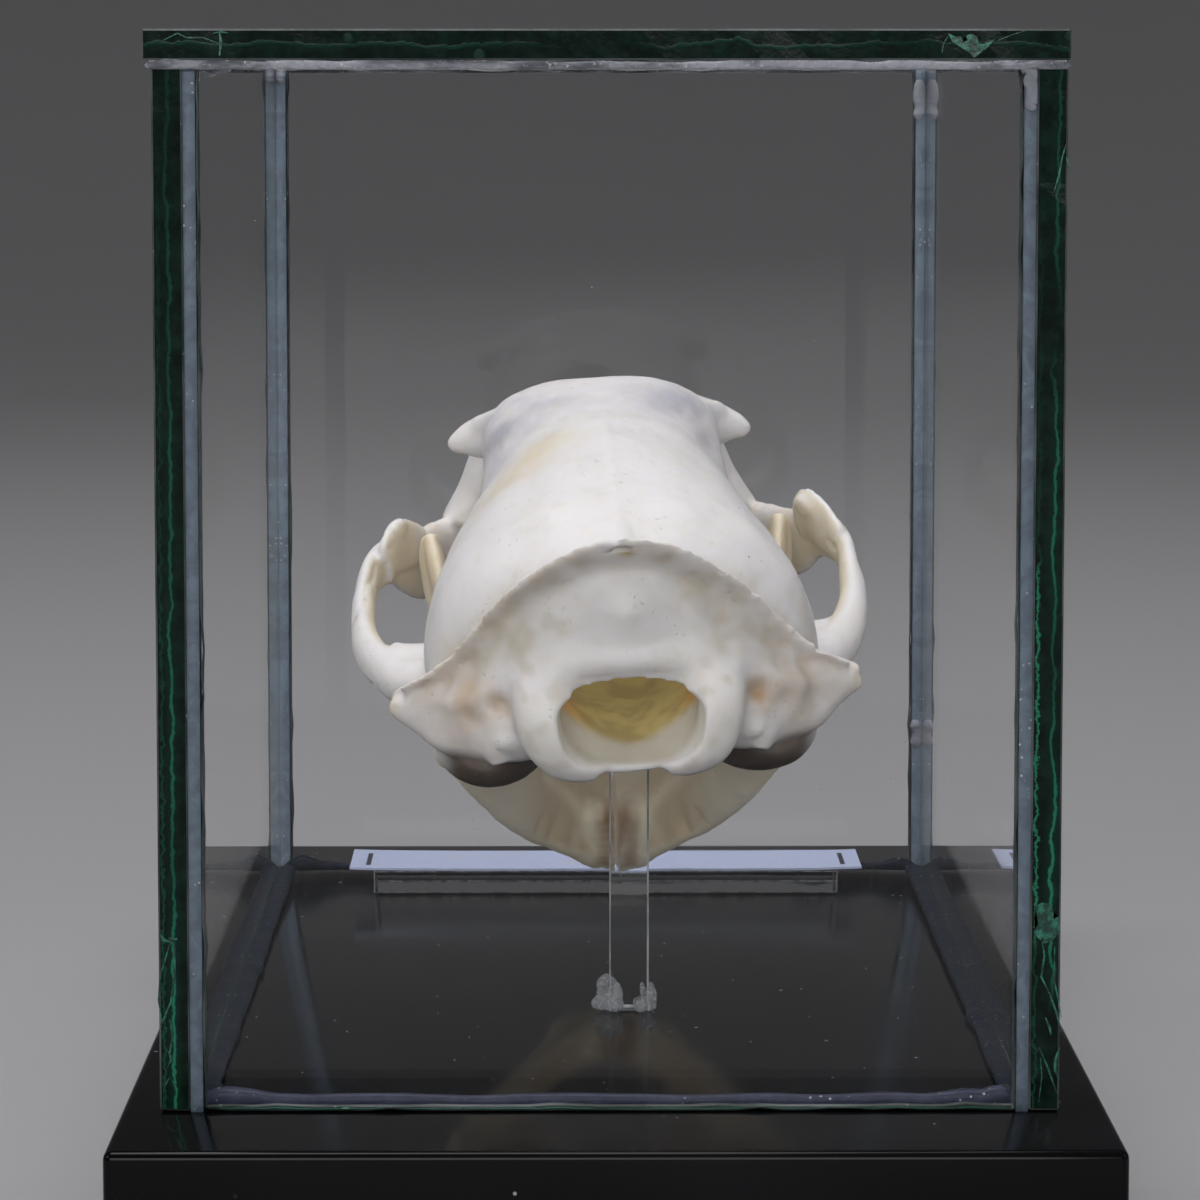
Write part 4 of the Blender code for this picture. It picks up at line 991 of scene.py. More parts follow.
# stains of the cranium, with painted shadow under the nuchal crest and painted highlights on knobs and on the
# roll above the foramen: x, y, z, reach, strength, colour
CRANIUM_STAINS_AND_PAINTED_LIGHT = [
    (-4.6, 21.2, 16.2, 2.4, 0.5, STRAW), (-6.3, 20.4, 15.2, 2.5, 0.5, STRAW),
    (-8.0, 20.0, 13.7, 2.3, 0.4, STRAW), (-9.4, 19.0, 12.2, 2.0, 0.3, STRAW),
    (-7.8, 30.8, 14.8, 3.0, 0.9, LAVENDER), (-4.6, 31.0, 17.0, 2.4, 0.6, LAVENDER),
    (6.4, 31.0, 16.2, 2.6, 0.8, LAVENDER), (8.6, 27.4, 13.2, 1.8, 0.3, LAVENDER),
    (3.0, 30.0, 17.4, 3.0, 0.3, LAVENDER), (7.1, 30.4, 15.6, 0.9, 0.6, BRUISE),
    (7.7, 28.4, 14.6, 0.8, 0.45, BRUISE), (-12.5, 5.3, 1.5, 3.0, 0.6, PINK),
    (13.0, 5.8, 1.6, 3.4, 0.5, PINK), (-9.6, 3.2, 1.8, 1.0, 0.6, RUST), (9.5, 3.3, 1.6, 1.1, 0.7, RUST),
    (-11.6, 5.0, 3.0, 0.7, 0.4, RUST), (11.9, 4.9, 3.3, 0.7, 0.35, RUST), (-8.9, 3.4, -0.9, 1.1, 0.8, PAINTED_HIGHLIGHT),
    (9.1, 3.6, -1.2, 1.1, 0.8, PAINTED_HIGHLIGHT), (17.6, 8.3, 0.6, 0.8, 0.9, YELLOW),
    (-17.4, 8.3, 0.9, 0.7, 0.6, YELLOW), (-7.6, 3.7, 6.5, 1.3, 0.5, TAN_AND_SHADOW),
    (-11.2, 5.8, 5.4, 1.3, 0.7, TAN_AND_SHADOW), (-9.7, 5.1, 7.0, 1.4, 0.75, TAN_AND_SHADOW),
    (-8.2, 4.2, 9.1, 1.4, 0.65, TAN_AND_SHADOW), (-5.6, 2.7, 11.4, 1.3, 0.5, TAN_AND_SHADOW),
    (5.5, 3.7, 9.9, 1.5, 0.55, TAN_AND_SHADOW), (7.7, 4.3, 8.1, 1.5, 0.7, TAN_AND_SHADOW), (9.8, 5.1, 5.7, 1.5, 0.7, TAN_AND_SHADOW),
    (12.0, 5.7, 3.2, 1.2, 0.5, TAN_AND_SHADOW), (6.7, 2.7, 5.6, 1.0, 0.35, TAN_AND_SHADOW),
    (-3.0, 1.9, 12.9, 0.8, 0.8, TAN_AND_SHADOW), (2.9, 2.2, 13.0, 0.9, 0.8, TAN_AND_SHADOW),
    (-12.6, 5.8, 2.0, 2.6, 0.4, TAN_AND_SHADOW), (13.2, 6.0, 1.6, 2.8, 0.4, TAN_AND_SHADOW),
    (-11.6, 4.6, 1.6, 1.0, 0.5, RUST), (-4.0, 2.7, 5.2, 1.5, 0.7, PAINTED_HIGHLIGHT), (0.0, 2.3, 5.3, 1.7, 0.7, PAINTED_HIGHLIGHT),
    (4.0, 2.7, 5.2, 1.5, 0.7, PAINTED_HIGHLIGHT), (-14.0, 40.0, 3.0, 3.5, 0.35, TAN), (14.0, 40.0, 3.0, 3.5, 0.35, TAN),
]
# small opening below the inion
PIT = (0.15, 1.5, 13.45)


def cranium_tint(bone):
    """Colours of the cranium where the photographed skull has them: stains, painted shade on the occiput and
    in the bullae, painted shadow under the nuchal crest and painted highlights on knobs and on the roll above
    the foramen.
    """
    points, normals = points_of(bone.data), normals_of(bone.data)
    x, y, z = points.T
    wide = np.abs(x)
    drift = grain(points, 2.6) + 0.5 * grain(points, 0.9)
    colours = np.tile(np.asarray(IVORY), (len(points), 1))
    colours = blend_towards(colours, 0.35 * ramp(drift, 0.1, 0.8), GREY_TONE_AND_SHADE)
    # painted shade: the back-facing upper occiput is greyed, as it gets less of the light from above
    behind = ramp(-normals[:, 1], 0.3, 0.8) * ramp(-y, -7.0, -3.0)
    colours = blend_towards(colours, 0.4 * behind * ramp(z, 3.5, 7.0), GREY_TONE_AND_SHADE)
    # blotches of tan and painted shade on the back-facing occiput
    blotch = ramp(grain(points, 1.4, (3, 8, 1)), 0.1, 0.55)
    colours = blend_towards(colours, 0.4 * behind * blotch * ramp(wide, 1.5, 5.0), TAN_AND_SHADOW)
    bulla = ramp(-z, 1.7, 3.0) * ramp(y, 4.4, 6.2) * ramp(wide, 3.6, 5.4) * ramp(-wide, -14.6, -12.4)
    colours = blend_towards(colours, bulla * ramp(-y, -25, -21), SHADE_BROWN)
    arch_inside = ramp(-normals[:, 0] * np.sign(x), 0.1, 0.8) * ramp(wide, 13.5, 15.5)
    colours = blend_towards(colours, 0.45 * arch_inside, YELLOW)
    for *place, reach, strength, colour in CRANIUM_STAINS_AND_PAINTED_LIGHT:
        share = near(points, place, reach * 1.15) * (1 + 0.9 * drift)
        colours = blend_towards(colours, strength * share, colour)
    pit = points[np.argmin(((points - PIT) ** 2).sum(axis=1))]
    colours = blend_towards(colours, near(points, pit, 0.5), (0.46, 0.36, 0.11))
    condyles = np.maximum(near(points, (-5.6, 1.2, 0.6), 3.0), near(points, (5.6, 1.2, 0.6), 3.0))
    colours = blend_towards(colours, 0.5 * condyles, (0.83, 0.80, 0.70))
    inside = brain_depth(points)
    rim = ramp(y, 1.4, 2.8) * ramp(-wide, -5.6, -5.0) * ramp(-z, -3.4, -2.4) * ramp(z, -3.4, -2.6)
    colours = blend_towards(colours, 0.7 * rim * ramp(-y, -5.5, -4.5), (0.52, 0.485, 0.36))
    colours = blend_towards(colours, inside, OLIVE)
    colours = blend_towards(colours, inside * 0.6 * ramp(drift, -0.1, 0.5), (0.25, 0.185, 0.075))
    corner = np.maximum(near(points, (-4.9, 5.6, 1.4), 1.7), near(points, (5.0, 5.4, 2.0), 1.7))
    colours = blend_towards(colours, inside * corner * 0.9, (0.42, 0.20, 0.05))
    nose = ramp(-np.hypot(x / 3.4, (z - 5.0) / 4.8), -1.15, -1.0) * ramp(y, 48.0, 50.0)
    return blend_towards(colours, nose * ramp(-y, -62.5, -58.0) * 0.7, TAN)


def nibble_crest(bone):
    """Wear the thin edge of the nuchal crest in small notches."""
    points = points_of(bone.data)
    line = np.array([hermite(crest_line(), t) for t in np.linspace(0, 1, 160)])
    best = np.full(len(points), np.inf)
    for spot in line:
        best = np.minimum(best, ((points - spot) ** 2).sum(axis=1))
    edge = np.exp(-best / 0.9**2)
    chosen = np.flatnonzero(edge > 0.05)
    for k in chosen:
        spot = Vector(points[k])
        bite = max(0.0, noise.noise(spot / 1.1 + Vector((5, 1, 2))) - 0.05) * 0.55
        bite += max(0.0, noise.noise(spot / 0.45)) * 0.14
        inward = (Vector((0.0, 12.0, 3.0)) - spot).normalized()
        points[k] += np.asarray(inward) * bite * edge[k]
    move_points(bone.data, points)


# fine joins between the bones of the head, as points along each
SUTURES = [
    [(2.9, 60.0, 8.6), (2.5, 55.0, 11.0), (1.7, 48.0, 13.6), (0.8, 41.5, 16.0)],
    [(5.2, 61.0, -1.6), (6.6, 58.4, 3.0), (5.6, 55.0, 8.4), (2.6, 52.6, 11.4)],
    [(19.2, 23.6, 2.0), (18.8, 26.4, 4.4), (18.0, 29.4, 5.0), (17.0, 32.0, 6.8)],
    [(12.6, 41.0, 6.0), (13.8, 41.6, 3.6), (13.2, 42.4, 0.6)],
    [(9.2, 40.6, 11.4), (7.4, 43.0, 13.2), (4.6, 42.4, 15.0), (1.0, 41.2, 16.2)],
    [(0.0, 36.5, -3.4), (0.0, 47.0, -4.1), (0.0, 60.0, -4.1)],
    [(4.6, 47.0, -4.0), (2.6, 45.8, -4.1), (0.0, 45.2, -4.1)],
    [(3.4, 14.6, -4.1), (0.0, 14.4, -4.1)],
]


def groove(item, line, width, depth):
    """Carve a fine, slightly wandering furrow along points of a line, on both sides."""
    points, normals = points_of(item.data), normals_of(item.data)
    nearest = np.full(len(points), np.inf)
    for side in (-1, 1):
        for t in np.linspace(0, 1, 22 * len(line)):
            spot = hermite(line, t) * (side, 1, 1)
            spot = spot + 0.35 * np.array(noise.noise_vector(Vector(spot) / 0.9))
            spot = points[np.argmin(((points - spot) ** 2).sum(axis=1))]
            nearest = np.minimum(nearest, ((points - spot) ** 2).sum(axis=1))
    share = np.exp(-nearest / width**2)
    move_points(item.data, points - normals * (share * depth)[:, None])


# places of the cranium to blend: x, y, z, reach
CRANIUM_BLENDS = [
    (7.0, 3.2, 4.8, 2.6), (5.6, 2.4, 5.0, 2.2), (4.6, 3.0, 3.4, 1.3), (4.6, 2.8, 8.6, 2.2),
    (2.4, 3.2, 11.4, 2.0), (3.4, 3.2, -3.8, 1.2), (9.2, 4.0, 5.6, 2.0), (11.0, 37.0, 12.8, 1.2),
    (0.5, 2.2, 9.2, 1.6), (9.6, 44.4, 9.4, 2.4), (8.0, 44.6, 12.0, 2.0),
]
# dents of the cranium, and swellings where depth is negative: x, y, z, reach, depth
CRANIUM_DENTS = [
    (4.6, 2.4, 10.6, 1.5, 0.5), (6.3, 2.6, 9.0, 1.6, 0.6), (8.0, 3.2, 7.6, 1.6, 0.6),
    (9.7, 4.0, 6.3, 1.6, 0.55), (11.5, 5.2, 4.8, 1.5, 0.45), (13.2, 6.2, 3.2, 1.3, 0.35),
    (6.4, 2.6, 7.0, 1.5, 0.35), (0.3, 2.2, 9.0, 1.5, -0.35), (9.5, 3.2, 1.9, 0.85, 0.75),
    (11.4, 4.8, 3.3, 0.8, 0.3), (13.4, 6.6, 0.2, 1.3, 0.35), (11.0, 4.6, 0.6, 0.9, 0.35),
    (9.0, 3.4, -0.9, 0.9, -0.45), (12.6, 5.6, 1.8, 0.8, -0.2), (13.6, 33.6, 4.6, 1.4, 0.2),
    (8.6, 26.0, 12.0, 3.0, 0.25), (10.6, 37.0, 11.6, 0.8, 0.15), (0.1, 1.5, 13.45, 0.34, 0.45),
    (3.0, 34.5, 18.0, 2.2, -0.15), (0.0, 40.0, 16.6, 2.0, 0.25), (4.9, 8.0, -4.0, 1.3, 0.3),
    (11.6, 46.0, 3.6, 1.6, 0.3), (8.6, 50.5, 1.2, 1.6, 0.35), (7.2, 57.4, 0.4, 1.2, -0.25),
    (8.4, 13.0, -6.2, 2.4, -0.2), (16.6, 33.2, 5.0, 1.2, 0.12),
]


def cranium():
    bone = head_body()
    bone.name = "cranium_bone"
    join(bone, occiput() + crests() + arches() + underside())
    join(bone, head_hollows(), "DIFFERENCE")
    join(bone, nose_scrolls() + braincase_folds())
    cast(bone, CRANIUM_VOXEL, 3, CRANIUM_TRIANGLES)
    keep_largest(bone)
    soften(bone, 30, CRANIUM_BLENDS)
    press(bone, CRANIUM_DENTS)
    press(bone, [(12.6, 17.0, 8.6, 4.5, 0.7), (11.2, 23.0, 10.0, 3.5, 0.5)], sides=(1,))
    nibble_crest(bone)
    for line in SUTURES:
        groove(bone, line, 0.24, 0.15)
    roughen(bone, 3.2, 0.14, 1.0)
    roughen(bone, 0.9, 0.035, 7.0)
    mark_tint_and_painted_light(bone, cranium_tint(bone), brain_depth(points_of(bone.data)))
    return bone


# lower jaw, in its own frame: origin on the hinge line, +Y along the tooth row

def jaw_ridge():
    """Points of the low ridge on the inner face of a jaw half, from the cheek teeth to the chin."""
    return [hermite([(5.6, 19.6, -3.2), (3.3, 24.2, -4.2), (1.9, 27.6, -6.2), (1.3, 29.6, -7.3)], t)
            for t in np.linspace(0, 1, 24)]


def jaw_tint(bone, side):
    """Colours of a jaw half: yellow inside, stain and painted shade; pale on its border and ridge, painted
    highlight; dark brown at the chin, painted shade and stain.
    """
    points, normals = points_of(bone.data), normals_of(bone.data)
    x, y, z = points.T
    colours = np.tile(np.asarray(JAW_BEIGE), (len(points), 1))
    colours = blend_towards(colours, 0.5 * ramp(grain(points, 2.4, (9, 0, 0)), 0.0, 0.6), (0.85, 0.78, 0.62))
    # partly tan stain and partly painted shade on the inner faces
    inner = ramp(-normals[:, 0] * side, 0.2, 0.9)
    colours = blend_towards(colours, 0.45 * inner * ramp(y, 12.0, 22.0), (0.52, 0.38, 0.22))
    # painted highlight on the down-facing lower border
    border = ramp(-normals[:, 2], 0.35, 0.85) * ramp(-z, 4.5, 6.5)
    colours = blend_towards(colours, 0.7 * border, (0.88, 0.81, 0.63))
    # painted highlight along the ridge on the inner face
    ridge = np.max([near(points, spot * (side, 1, 1), 0.8) for spot in jaw_ridge()], axis=0)
    colours = blend_towards(colours, 0.85 * ridge, (0.92, 0.85, 0.68))
    # painted shade, with some stain, deep between the halves at the chin
    reach = 1.3 if side > 0 else 0.9
    middle = np.max([near(points, (side * 0.7, 26.4 + 0.8 * k, -5.5 - 0.4 * k), reach) for k in range(7)],
                    axis=0)
    colours = blend_towards(colours, 0.95 * middle * ramp(-np.abs(x), -2.4, -1.4), (0.33, 0.18, 0.065))
    # a tan streak near the lower border, partly stain and partly painted shade
    streak = near(points, (side * 6.4, 20.0, -6.6), 1.0) + near(points, (side * 4.9, 23.6, -7.0), 1.0)
    colours = blend_towards(colours, 0.5 * streak, TAN)
    colours = blend_towards(colours, 0.35 * near(points, (side * 13.4, 7.6, 12.4), 4.5), TAN)
    return blend_towards(colours, 0.3 * near(points, (side * 8.4, 14.0, -7.4), 5.0), IVORY)


def split_at_chin(bone, side):
    """Cut a jaw half flat on the plane that faces the other half."""
    bm = bmesh.new()
    bm.from_mesh(bone.data)
    cut = bmesh.ops.bisect_plane(bm, geom=bm.verts[:] + bm.edges[:] + bm.faces[:],
                                 plane_co=(side * GAP / 2, 0, 0), plane_no=(-side, 0, 0), clear_outer=True)
    rim = [e for e in cut["geom_cut"] if isinstance(e, bmesh.types.BMEdge)]
    bmesh.ops.holes_fill(bm, edges=rim, sides=0)
    bmesh.ops.triangulate(bm, faces=[f for f in bm.faces if len(f.verts) > 4])
    bm.to_mesh(bone.data)
    bm.free()


def jaw_half(name, side):
    """Half of the lower jaw: body, chin, border, coronoid blade and its ridge, angular process, condyle."""
    body = [(2.0, JAW_LENGTH - 1.6, -0.6, 2.6, 1.7), (1.9, 36.4, -2.1, 3.4, 3.0), (2.0, 32.4, -3.4, 3.8, 3.7),
            (4.0, 28.2, -3.9, 2.5, 3.7), (6.1, 23.0, -4.0, 1.75, 3.7), (8.3, 17.0, -3.8, 1.7, 3.9),
            (10.6, 11.0, -3.0, 1.5, 3.9), (12.6, 6.0, -2.0, 1.2, 3.6), (13.6, 2.6, -1.4, 1.0, 2.6),
            (14.0, 0.0, -0.3, 1.0, 1.1)]
    chin = [(1.6, 25.6, -4.8, 0.6, 1.0), (0.8, 28.8, -5.1, 1.4, 2.1), (0.4, 32.6, -5.2, 2.2, 3.1),
            (0.4, 36.6, -3.4, 2.2, 3.1), (0.9, JAW_LENGTH - 1.4, -1.6, 1.6, 1.4)]
    border = [(11.4, 9.6, -5.9, 0.6, 0.6), (9.2, 15.0, -6.9, 0.7, 0.8), (7.0, 21.0, -7.1, 0.8, 0.9),
              (4.6, 26.0, -7.1, 0.9, 0.9), (2.6, 30.0, -7.3, 1.0, 0.9), (1.6, 33.4, -7.2, 0.9, 0.9)]
    blade = [(11.0, 9.6, -2.0, 1.2, 5.6), (11.8, 9.4, 3.0, 1.0, 5.0), (12.6, 8.8, 7.4, 0.8, 3.9),
             (13.2, 8.1, 11.2, 0.75, 2.7), (13.6, 7.6, 13.9, 0.6, 1.3)]
    horn = [(13.2, 4.4, -4.0, 1.0, 1.5), (13.5, 1.6, -4.8, 0.8, 1.1), (13.6, -0.8, -5.2, 0.5, 0.6)]
    ridge = [(10.4, 14.4, -1.6, 1.0, 1.2), (11.8, 13.0, 3.0, 1.1, 1.0), (12.8, 11.4, 7.6, 1.1, 0.9),
             (13.5, 9.4, 11.6, 1.1, 0.9), (13.6, 7.9, 13.6, 0.8, 0.7)]
    condyle = [(x, 0.0, z, size, tall) for x, z, size, tall in (
        (10.6, -0.1, 0.6, 0.7), (11.6, 0.0, 1.1, 1.1), (14.2, 0.0, CONDYLE_RADIUS, CONDYLE_RADIUS),
        (16.6, 0.0, 1.1, 1.1), (17.5, 0.0, 0.6, 0.6))]
    bone = limb(name, body, side=side, around=36, along=80)
    join(bone, [limb("chin", chin, side=side, around=28, along=36),
                limb("lower_border", border, side=side, around=20, along=48),
                limb("coronoid", blade, AWAY, side=side, around=28, along=30),
                limb("angular", horn, side=side, around=18, along=14),
                limb("ridge", ridge, AWAY, side=side, around=18, along=24),
                limb("condyle", condyle, side=side, around=24, along=24)])
    openings = [[(x + 2.6, y, z, 0.45, 0.45), (x - 0.8, y - 0.8, z, 0.3, 0.3)]
                for x, y, z in ((4.6, 31.4, -3.0), (5.6, 27.4, -3.4))]
    openings.append([(9.0, 8.0, -1.8, 0.6, 0.6), (11.6, 9.6, -2.2, 0.5, 0.5)])
    join(bone, [limb(f"opening_{k}", rows, side=side, along=4) for k, rows in enumerate(openings)],
         "DIFFERENCE")
    cast(bone, JAW_VOXEL, 3)
    split_at_chin(bone, side)
    keep_largest(bone)
    soften(bone, 40, [(2.2, 26.0, -4.4, 2.2), (1.8, 26.8, -6.0, 1.9)], sides=(side,))
    dents = [(13.6, 9.6, 1.6, 3.0, 0.55), (13.8, 8.4, 6.4, 2.4, 0.35), (13.0, 8.0, -3.0, 1.6, 0.3),
             (6.9, 20.0, -6.4, 0.7, 0.25), (6.0, 23.0, -6.8, 0.7, 0.2), (11.4, 4.8, -2.6, 1.4, 0.2),
             (5.0, 22.6, -6.3, 1.2, 0.25), (3.6, 25.8, -7.0, 1.0, 0.2)]
    press(bone, dents + [(*spot, 0.7, -0.05) for spot in jaw_ridge()], sides=(side,))
    roughen(bone, 2.8, 0.10, 3.0 + side)
    roughen(bone, 0.8, 0.03, 9.0)
    # the whole jaw takes the painted glow, which stands for fill light
    mark_tint_and_painted_light(bone, jaw_tint(bone, side), np.full(len(bone.data.vertices), JAW_PAINTED_GLOW))
    return bone


# glass case

# spacing of the points along a cut edge, width of an arris, and how much less the sides and lid are nibbled
EDGE_STEP, ARRIS, NIBBLE_ON_SIDES = 1.6, 0.13, 0.3


def crack_look(name, thin, here, t):
    """Painted light of the cracks at a point of a cut edge: middle across the edge, glow of the long crack,
    glow of the loops.
    """
    seed = len(name) + 3.0 * thin

    def wander(size, level):
        return noise.noise(Vector((t / size, seed, level)))
    middle = 0.5 + 0.18 * wander(6, 0) + 0.14 * wander(2.6, 4)
    painted_glow = min(1.0, max(0.0, 0.75 + 1.6 * wander(12, 8)))
    low = min(1.0, max(0.0, (PLINTH_Z + CASE_Z - here.z) / CASE_Z))
    if name == "glass_lid":
        return middle + 0.26 * wander(3.4, 2), 0.12 * painted_glow, 0.0
    if name == "glass_right":
        split = 1 - min(1.0, max(0.0, (20.0 - here.z) / 3))
        return middle + 0.2, (0.15 + 0.9 * low) * painted_glow * split, 0.8 if 22.0 < here.z < 46.0 else 0.2 * low
    return middle, (0.12 + 0.8 * low**1.4) * (0.5 + 0.5 * painted_glow), 0.25 * low


def pane(name, low, high, thin, seed):
    """Cut glass between two corners: clear faces, green edges with their maps, ground, nibbled arrises."""
    low, high = Vector(low), Vector(high)
    size, centre = high - low, (low + high) / 2
    bm = block(low, high, ARRIS, 1)
    for axis in range(3):
        long = [e for e in bm.edges if abs((e.verts[0].co - e.verts[1].co)[axis]) > 4 * EDGE_STEP]
        if long:
            bmesh.ops.subdivide_edges(bm, edges=long, cuts=int(size[axis] / EDGE_STEP), use_grid_fill=True)
    edge_map = bm.verts.layers.float_vector.new("edge")
    crack_map = bm.verts.layers.float_vector.new("crack")
    wear = 0.34 * (NIBBLE_ON_SIDES if thin == 0 or name == "glass_lid" else 1.0)
    for vert in bm.verts:
        here = vert.co.copy()
        off = [abs(here[k] - centre[k]) - (size[k] / 2 - ARRIS * 1.5) for k in range(3)]
        rim = [k for k in range(3) if off[k] > 0 and k != thin]
        t = sum(here[k] - low[k] for k in range(3) if k != thin)
        vert[edge_map] = (t, (here[thin] - low[thin]) / size[thin], seed)
        vert[crack_map] = crack_look(name, thin, here, t)
        if rim and abs(off[thin]) < ARRIS * 2:
            bite = max(0.0, noise.noise(here / 2.1 + Vector((seed, 0, 0))) - 0.12) * wear
            for k in rim:
                vert.co[k] -= math.copysign(bite, here[k] - centre[k])
    bm.normal_update()
    for face in bm.faces:
        straight = [k for k in range(3) if abs(face.normal[k]) > 0.94]
        face.material_index = 2 if not straight else 0 if straight[0] == thin else 1
    return settle(bm, name)


def panes():
    """The four walls and the lid, each with the node that it stands for."""
    floor, top = PLINTH_Z + 0.12, PLINTH_Z + CASE_Z + 0.1
    mid, out_x, out_y = CASE_AT_X, CASE_X / 2 + GLASS, CASE_Y / 2 + GLASS
    made = []
    for k, (name, side) in enumerate((("left", -1), ("right", 1))):
        x = sorted((mid + side * CASE_X / 2, mid + side * out_x))
        wall = pane(f"glass_{name}", (x[0], -out_y, floor), (x[1], out_y, top), 0, k)
        made.append((wall, f"pane_{name}"))
    half = CASE_X / 2 - JOINT
    for k, (name, side) in enumerate((("back", -1), ("front", 1))):
        y = sorted((side * CASE_Y / 2, side * out_y))
        wall = pane(f"glass_{name}", (mid - half, y[0], floor), (mid + half, y[1], top), 1, 2 + k)
        made.append((wall, f"pane_{name}"))
    lid = PLINTH_Z + CASE_Z + GAP
    made.append((pane("glass_lid", (mid - out_x - LID_LEFT, -out_y - LID_ENDS, lid),
                      (mid + out_x + LID_RIGHT, out_y + LID_ENDS, lid + GLASS), 2, 4), "pane_top"))
    return made


def ribbon(bm, points, width, y):
    """Flat hairline through points of x and z on the face at y, thinning to its ends."""
    line = [Vector((x, 0, z)) for x, z in points]
    rows = []
    for k, point in enumerate(line):
        ahead, behind = line[min(k + 1, len(line) - 1)], line[max(k - 1, 0)]
        side = (ahead - behind).cross(Vector((0, 1, 0))).normalized()
        taper = 0.35 if k in (0, len(line) - 1) else 0.8 + 0.6 * noise.noise(point * 1.7)
        rows.append([bm.verts.new(Vector((0, y, 0)) + point + side * (width / 2 * taper * s))
                     for s in (-1, 1)])
    for (a, b), (c, d) in zip(rows, rows[1:]):
        bm.faces.new((a, b, d, c))


# cracks in the near edges of the lid and of the side walls: width, then x and z of their points
LID_CRACKS = [
    (0.24, (-26.5, 83.0), (-26.4, 82.4), (-26.5, 81.4)), (0.14, (-26.9, 82.9), (-26.4, 83.0), (-25.9, 82.9)),
    (0.09, (-26.5, 82.2), (-27.6, 82.6), (-28.7, 82.6), (-29.3, 82.9), (-30.3, 82.4)),
    (0.10, (21.9, 81.6), (22.0, 82.2), (22.3, 82.7)), (0.07, (25.6, 82.4), (26.6, 82.8), (27.6, 83.1)),
]
WALL_CRACKS = [
    (0.36, (-30.5, 21.5), (-30.25, 21.3), (-29.9, 21.4)), (0.3, (-31.1, 21.7), (-30.8, 21.3), (-30.4, 21.2)),
    (0.16, (-30.3, 21.3), (-30.5, 20.8), (-31.1, 18.8), (-31.2, 17.2), (-31.0, 15.3)),
    (0.15, (-30.2, 21.3), (-30.1, 20.8), (-30.1, 18.8), (-30.4, 17.0), (-30.9, 15.8), (-31.1, 15.2)),
    (0.17, (-30.5, 15.8), (-30.4, 15.6), (-30.3, 14.6), (-30.5, 13.5), (-30.4, 13.0), (-30.7, 12.4)),
    (0.12, (-30.5, 11.8), (-30.8, 11.3), (-31.0, 10.6)), (0.12, (-30.5, 11.8), (-30.2, 11.3), (-30.1, 10.6)),
    (0.14, (29.2, 21.4), (29.4, 20.2), (29.2, 18.7), (29.8, 17.5), (30.3, 16.1), (30.6, 14.9)),
    (0.12, (30.1, 20.8), (30.1, 18.4), (30.4, 17.0), (30.6, 15.9)),
    (0.13, (29.1, 13.8), (29.7, 12.4), (30.6, 9.9)), (0.11, (29.2, 13.1), (29.3, 11.8), (29.1, 10.0)),
    (0.3, (30.5, 13.8), (30.2, 12.9), (30.2, 12.2), (30.5, 11.6)),
    (0.2, (29.5, 15.9), (29.8, 15.2), (29.9, 14.7)),
    (0.13, (30.4, 75.6), (30.1, 74.6), (29.9, 73.4), (29.6, 72.4)), (0.2, (30.4, 74.6), (30.6, 73.6)),
]
LID_CHIP = [
    (22.3, 82.9), (22.8, 82.65), (23.15, 82.7), (23.35, 82.35), (23.6, 82.4), (23.5, 82.75), (23.85, 82.85),
    (24.25, 82.7), (24.35, 82.2), (24.75, 82.2), (25.5, 82.55), (24.95, 81.95), (24.5, 81.6), (24.05, 81.25),
    (23.75, 81.6), (23.1, 82.0), (22.6, 82.3),
]
WALL_CHIP = [
    (28.75, 23.6), (29.2, 23.85), (29.7, 23.8), (30.0, 23.2), (30.0, 22.7), (30.35, 22.9), (30.45, 21.8),
    (29.95, 21.25), (29.4, 21.0), (28.9, 21.45), (28.7, 21.9), (28.95, 22.4), (28.7, 22.9),
]


def edge_cracks():
    """Chips, stars and branching cracks in the near edges of the lid and of the two side walls."""
    wall = -CASE_Y / 2 - GLASS - 0.012
    lid = wall - LID_ENDS
    bm = bmesh.new()
    for y, cracks in ((lid, LID_CRACKS), (wall, WALL_CRACKS)):
        for width, *points in cracks:
            ribbon(bm, points, width, y)
    for y, outline in ((lid, LID_CHIP), (wall, WALL_CHIP)):
        rim = [bm.verts.new((x, y, z)) for x, z in outline]
        bmesh.ops.triangulate(bm, faces=[bm.faces.new(rim)])
    return settle(bm, "edge_cracks")


def bead(name, start, end, out, up, wide, tall, uneven, knots=(), seed=0.0, power=2.6):
    """Hand-run bead of silicone along a corner, from start to end.

    out and up point away from the corner's two walls. The bead is wide along out and tall along up, uneven
    in its thickness, with knots of a size at shares of its length.
    """
    start, end, out, up = map(Vector, (start, end, out, up))
    rows = max(14, int((end - start).length / 1.3))
    keys = []
    for k in range(rows + 1):
        t = k / rows
        swell = 1 + uneven * noise.noise(Vector((t * rows / 4.2, seed, 0.3)))
        swell += 0.4 * uneven * noise.noise(Vector((t * rows / 1.3, seed, 4.1)))
        for at, size in knots:
            swell += size * math.exp(-(((t - at) * rows * 1.3) / 1.5) ** 2)
        swell = max(0.35, swell) * (1.0 if power > 5 else min(1.0, 0.35 + min(t, 1 - t) * rows / 1.6))
        half_wide, half_tall = wide / 2 * swell, tall / 2 * swell
        point = start.lerp(end, t) + out * half_wide + up * half_tall
        keys.append((*point, half_wide, half_tall))
    return limb(name, keys, up=up, around=18, along=rows * 2, power=power)


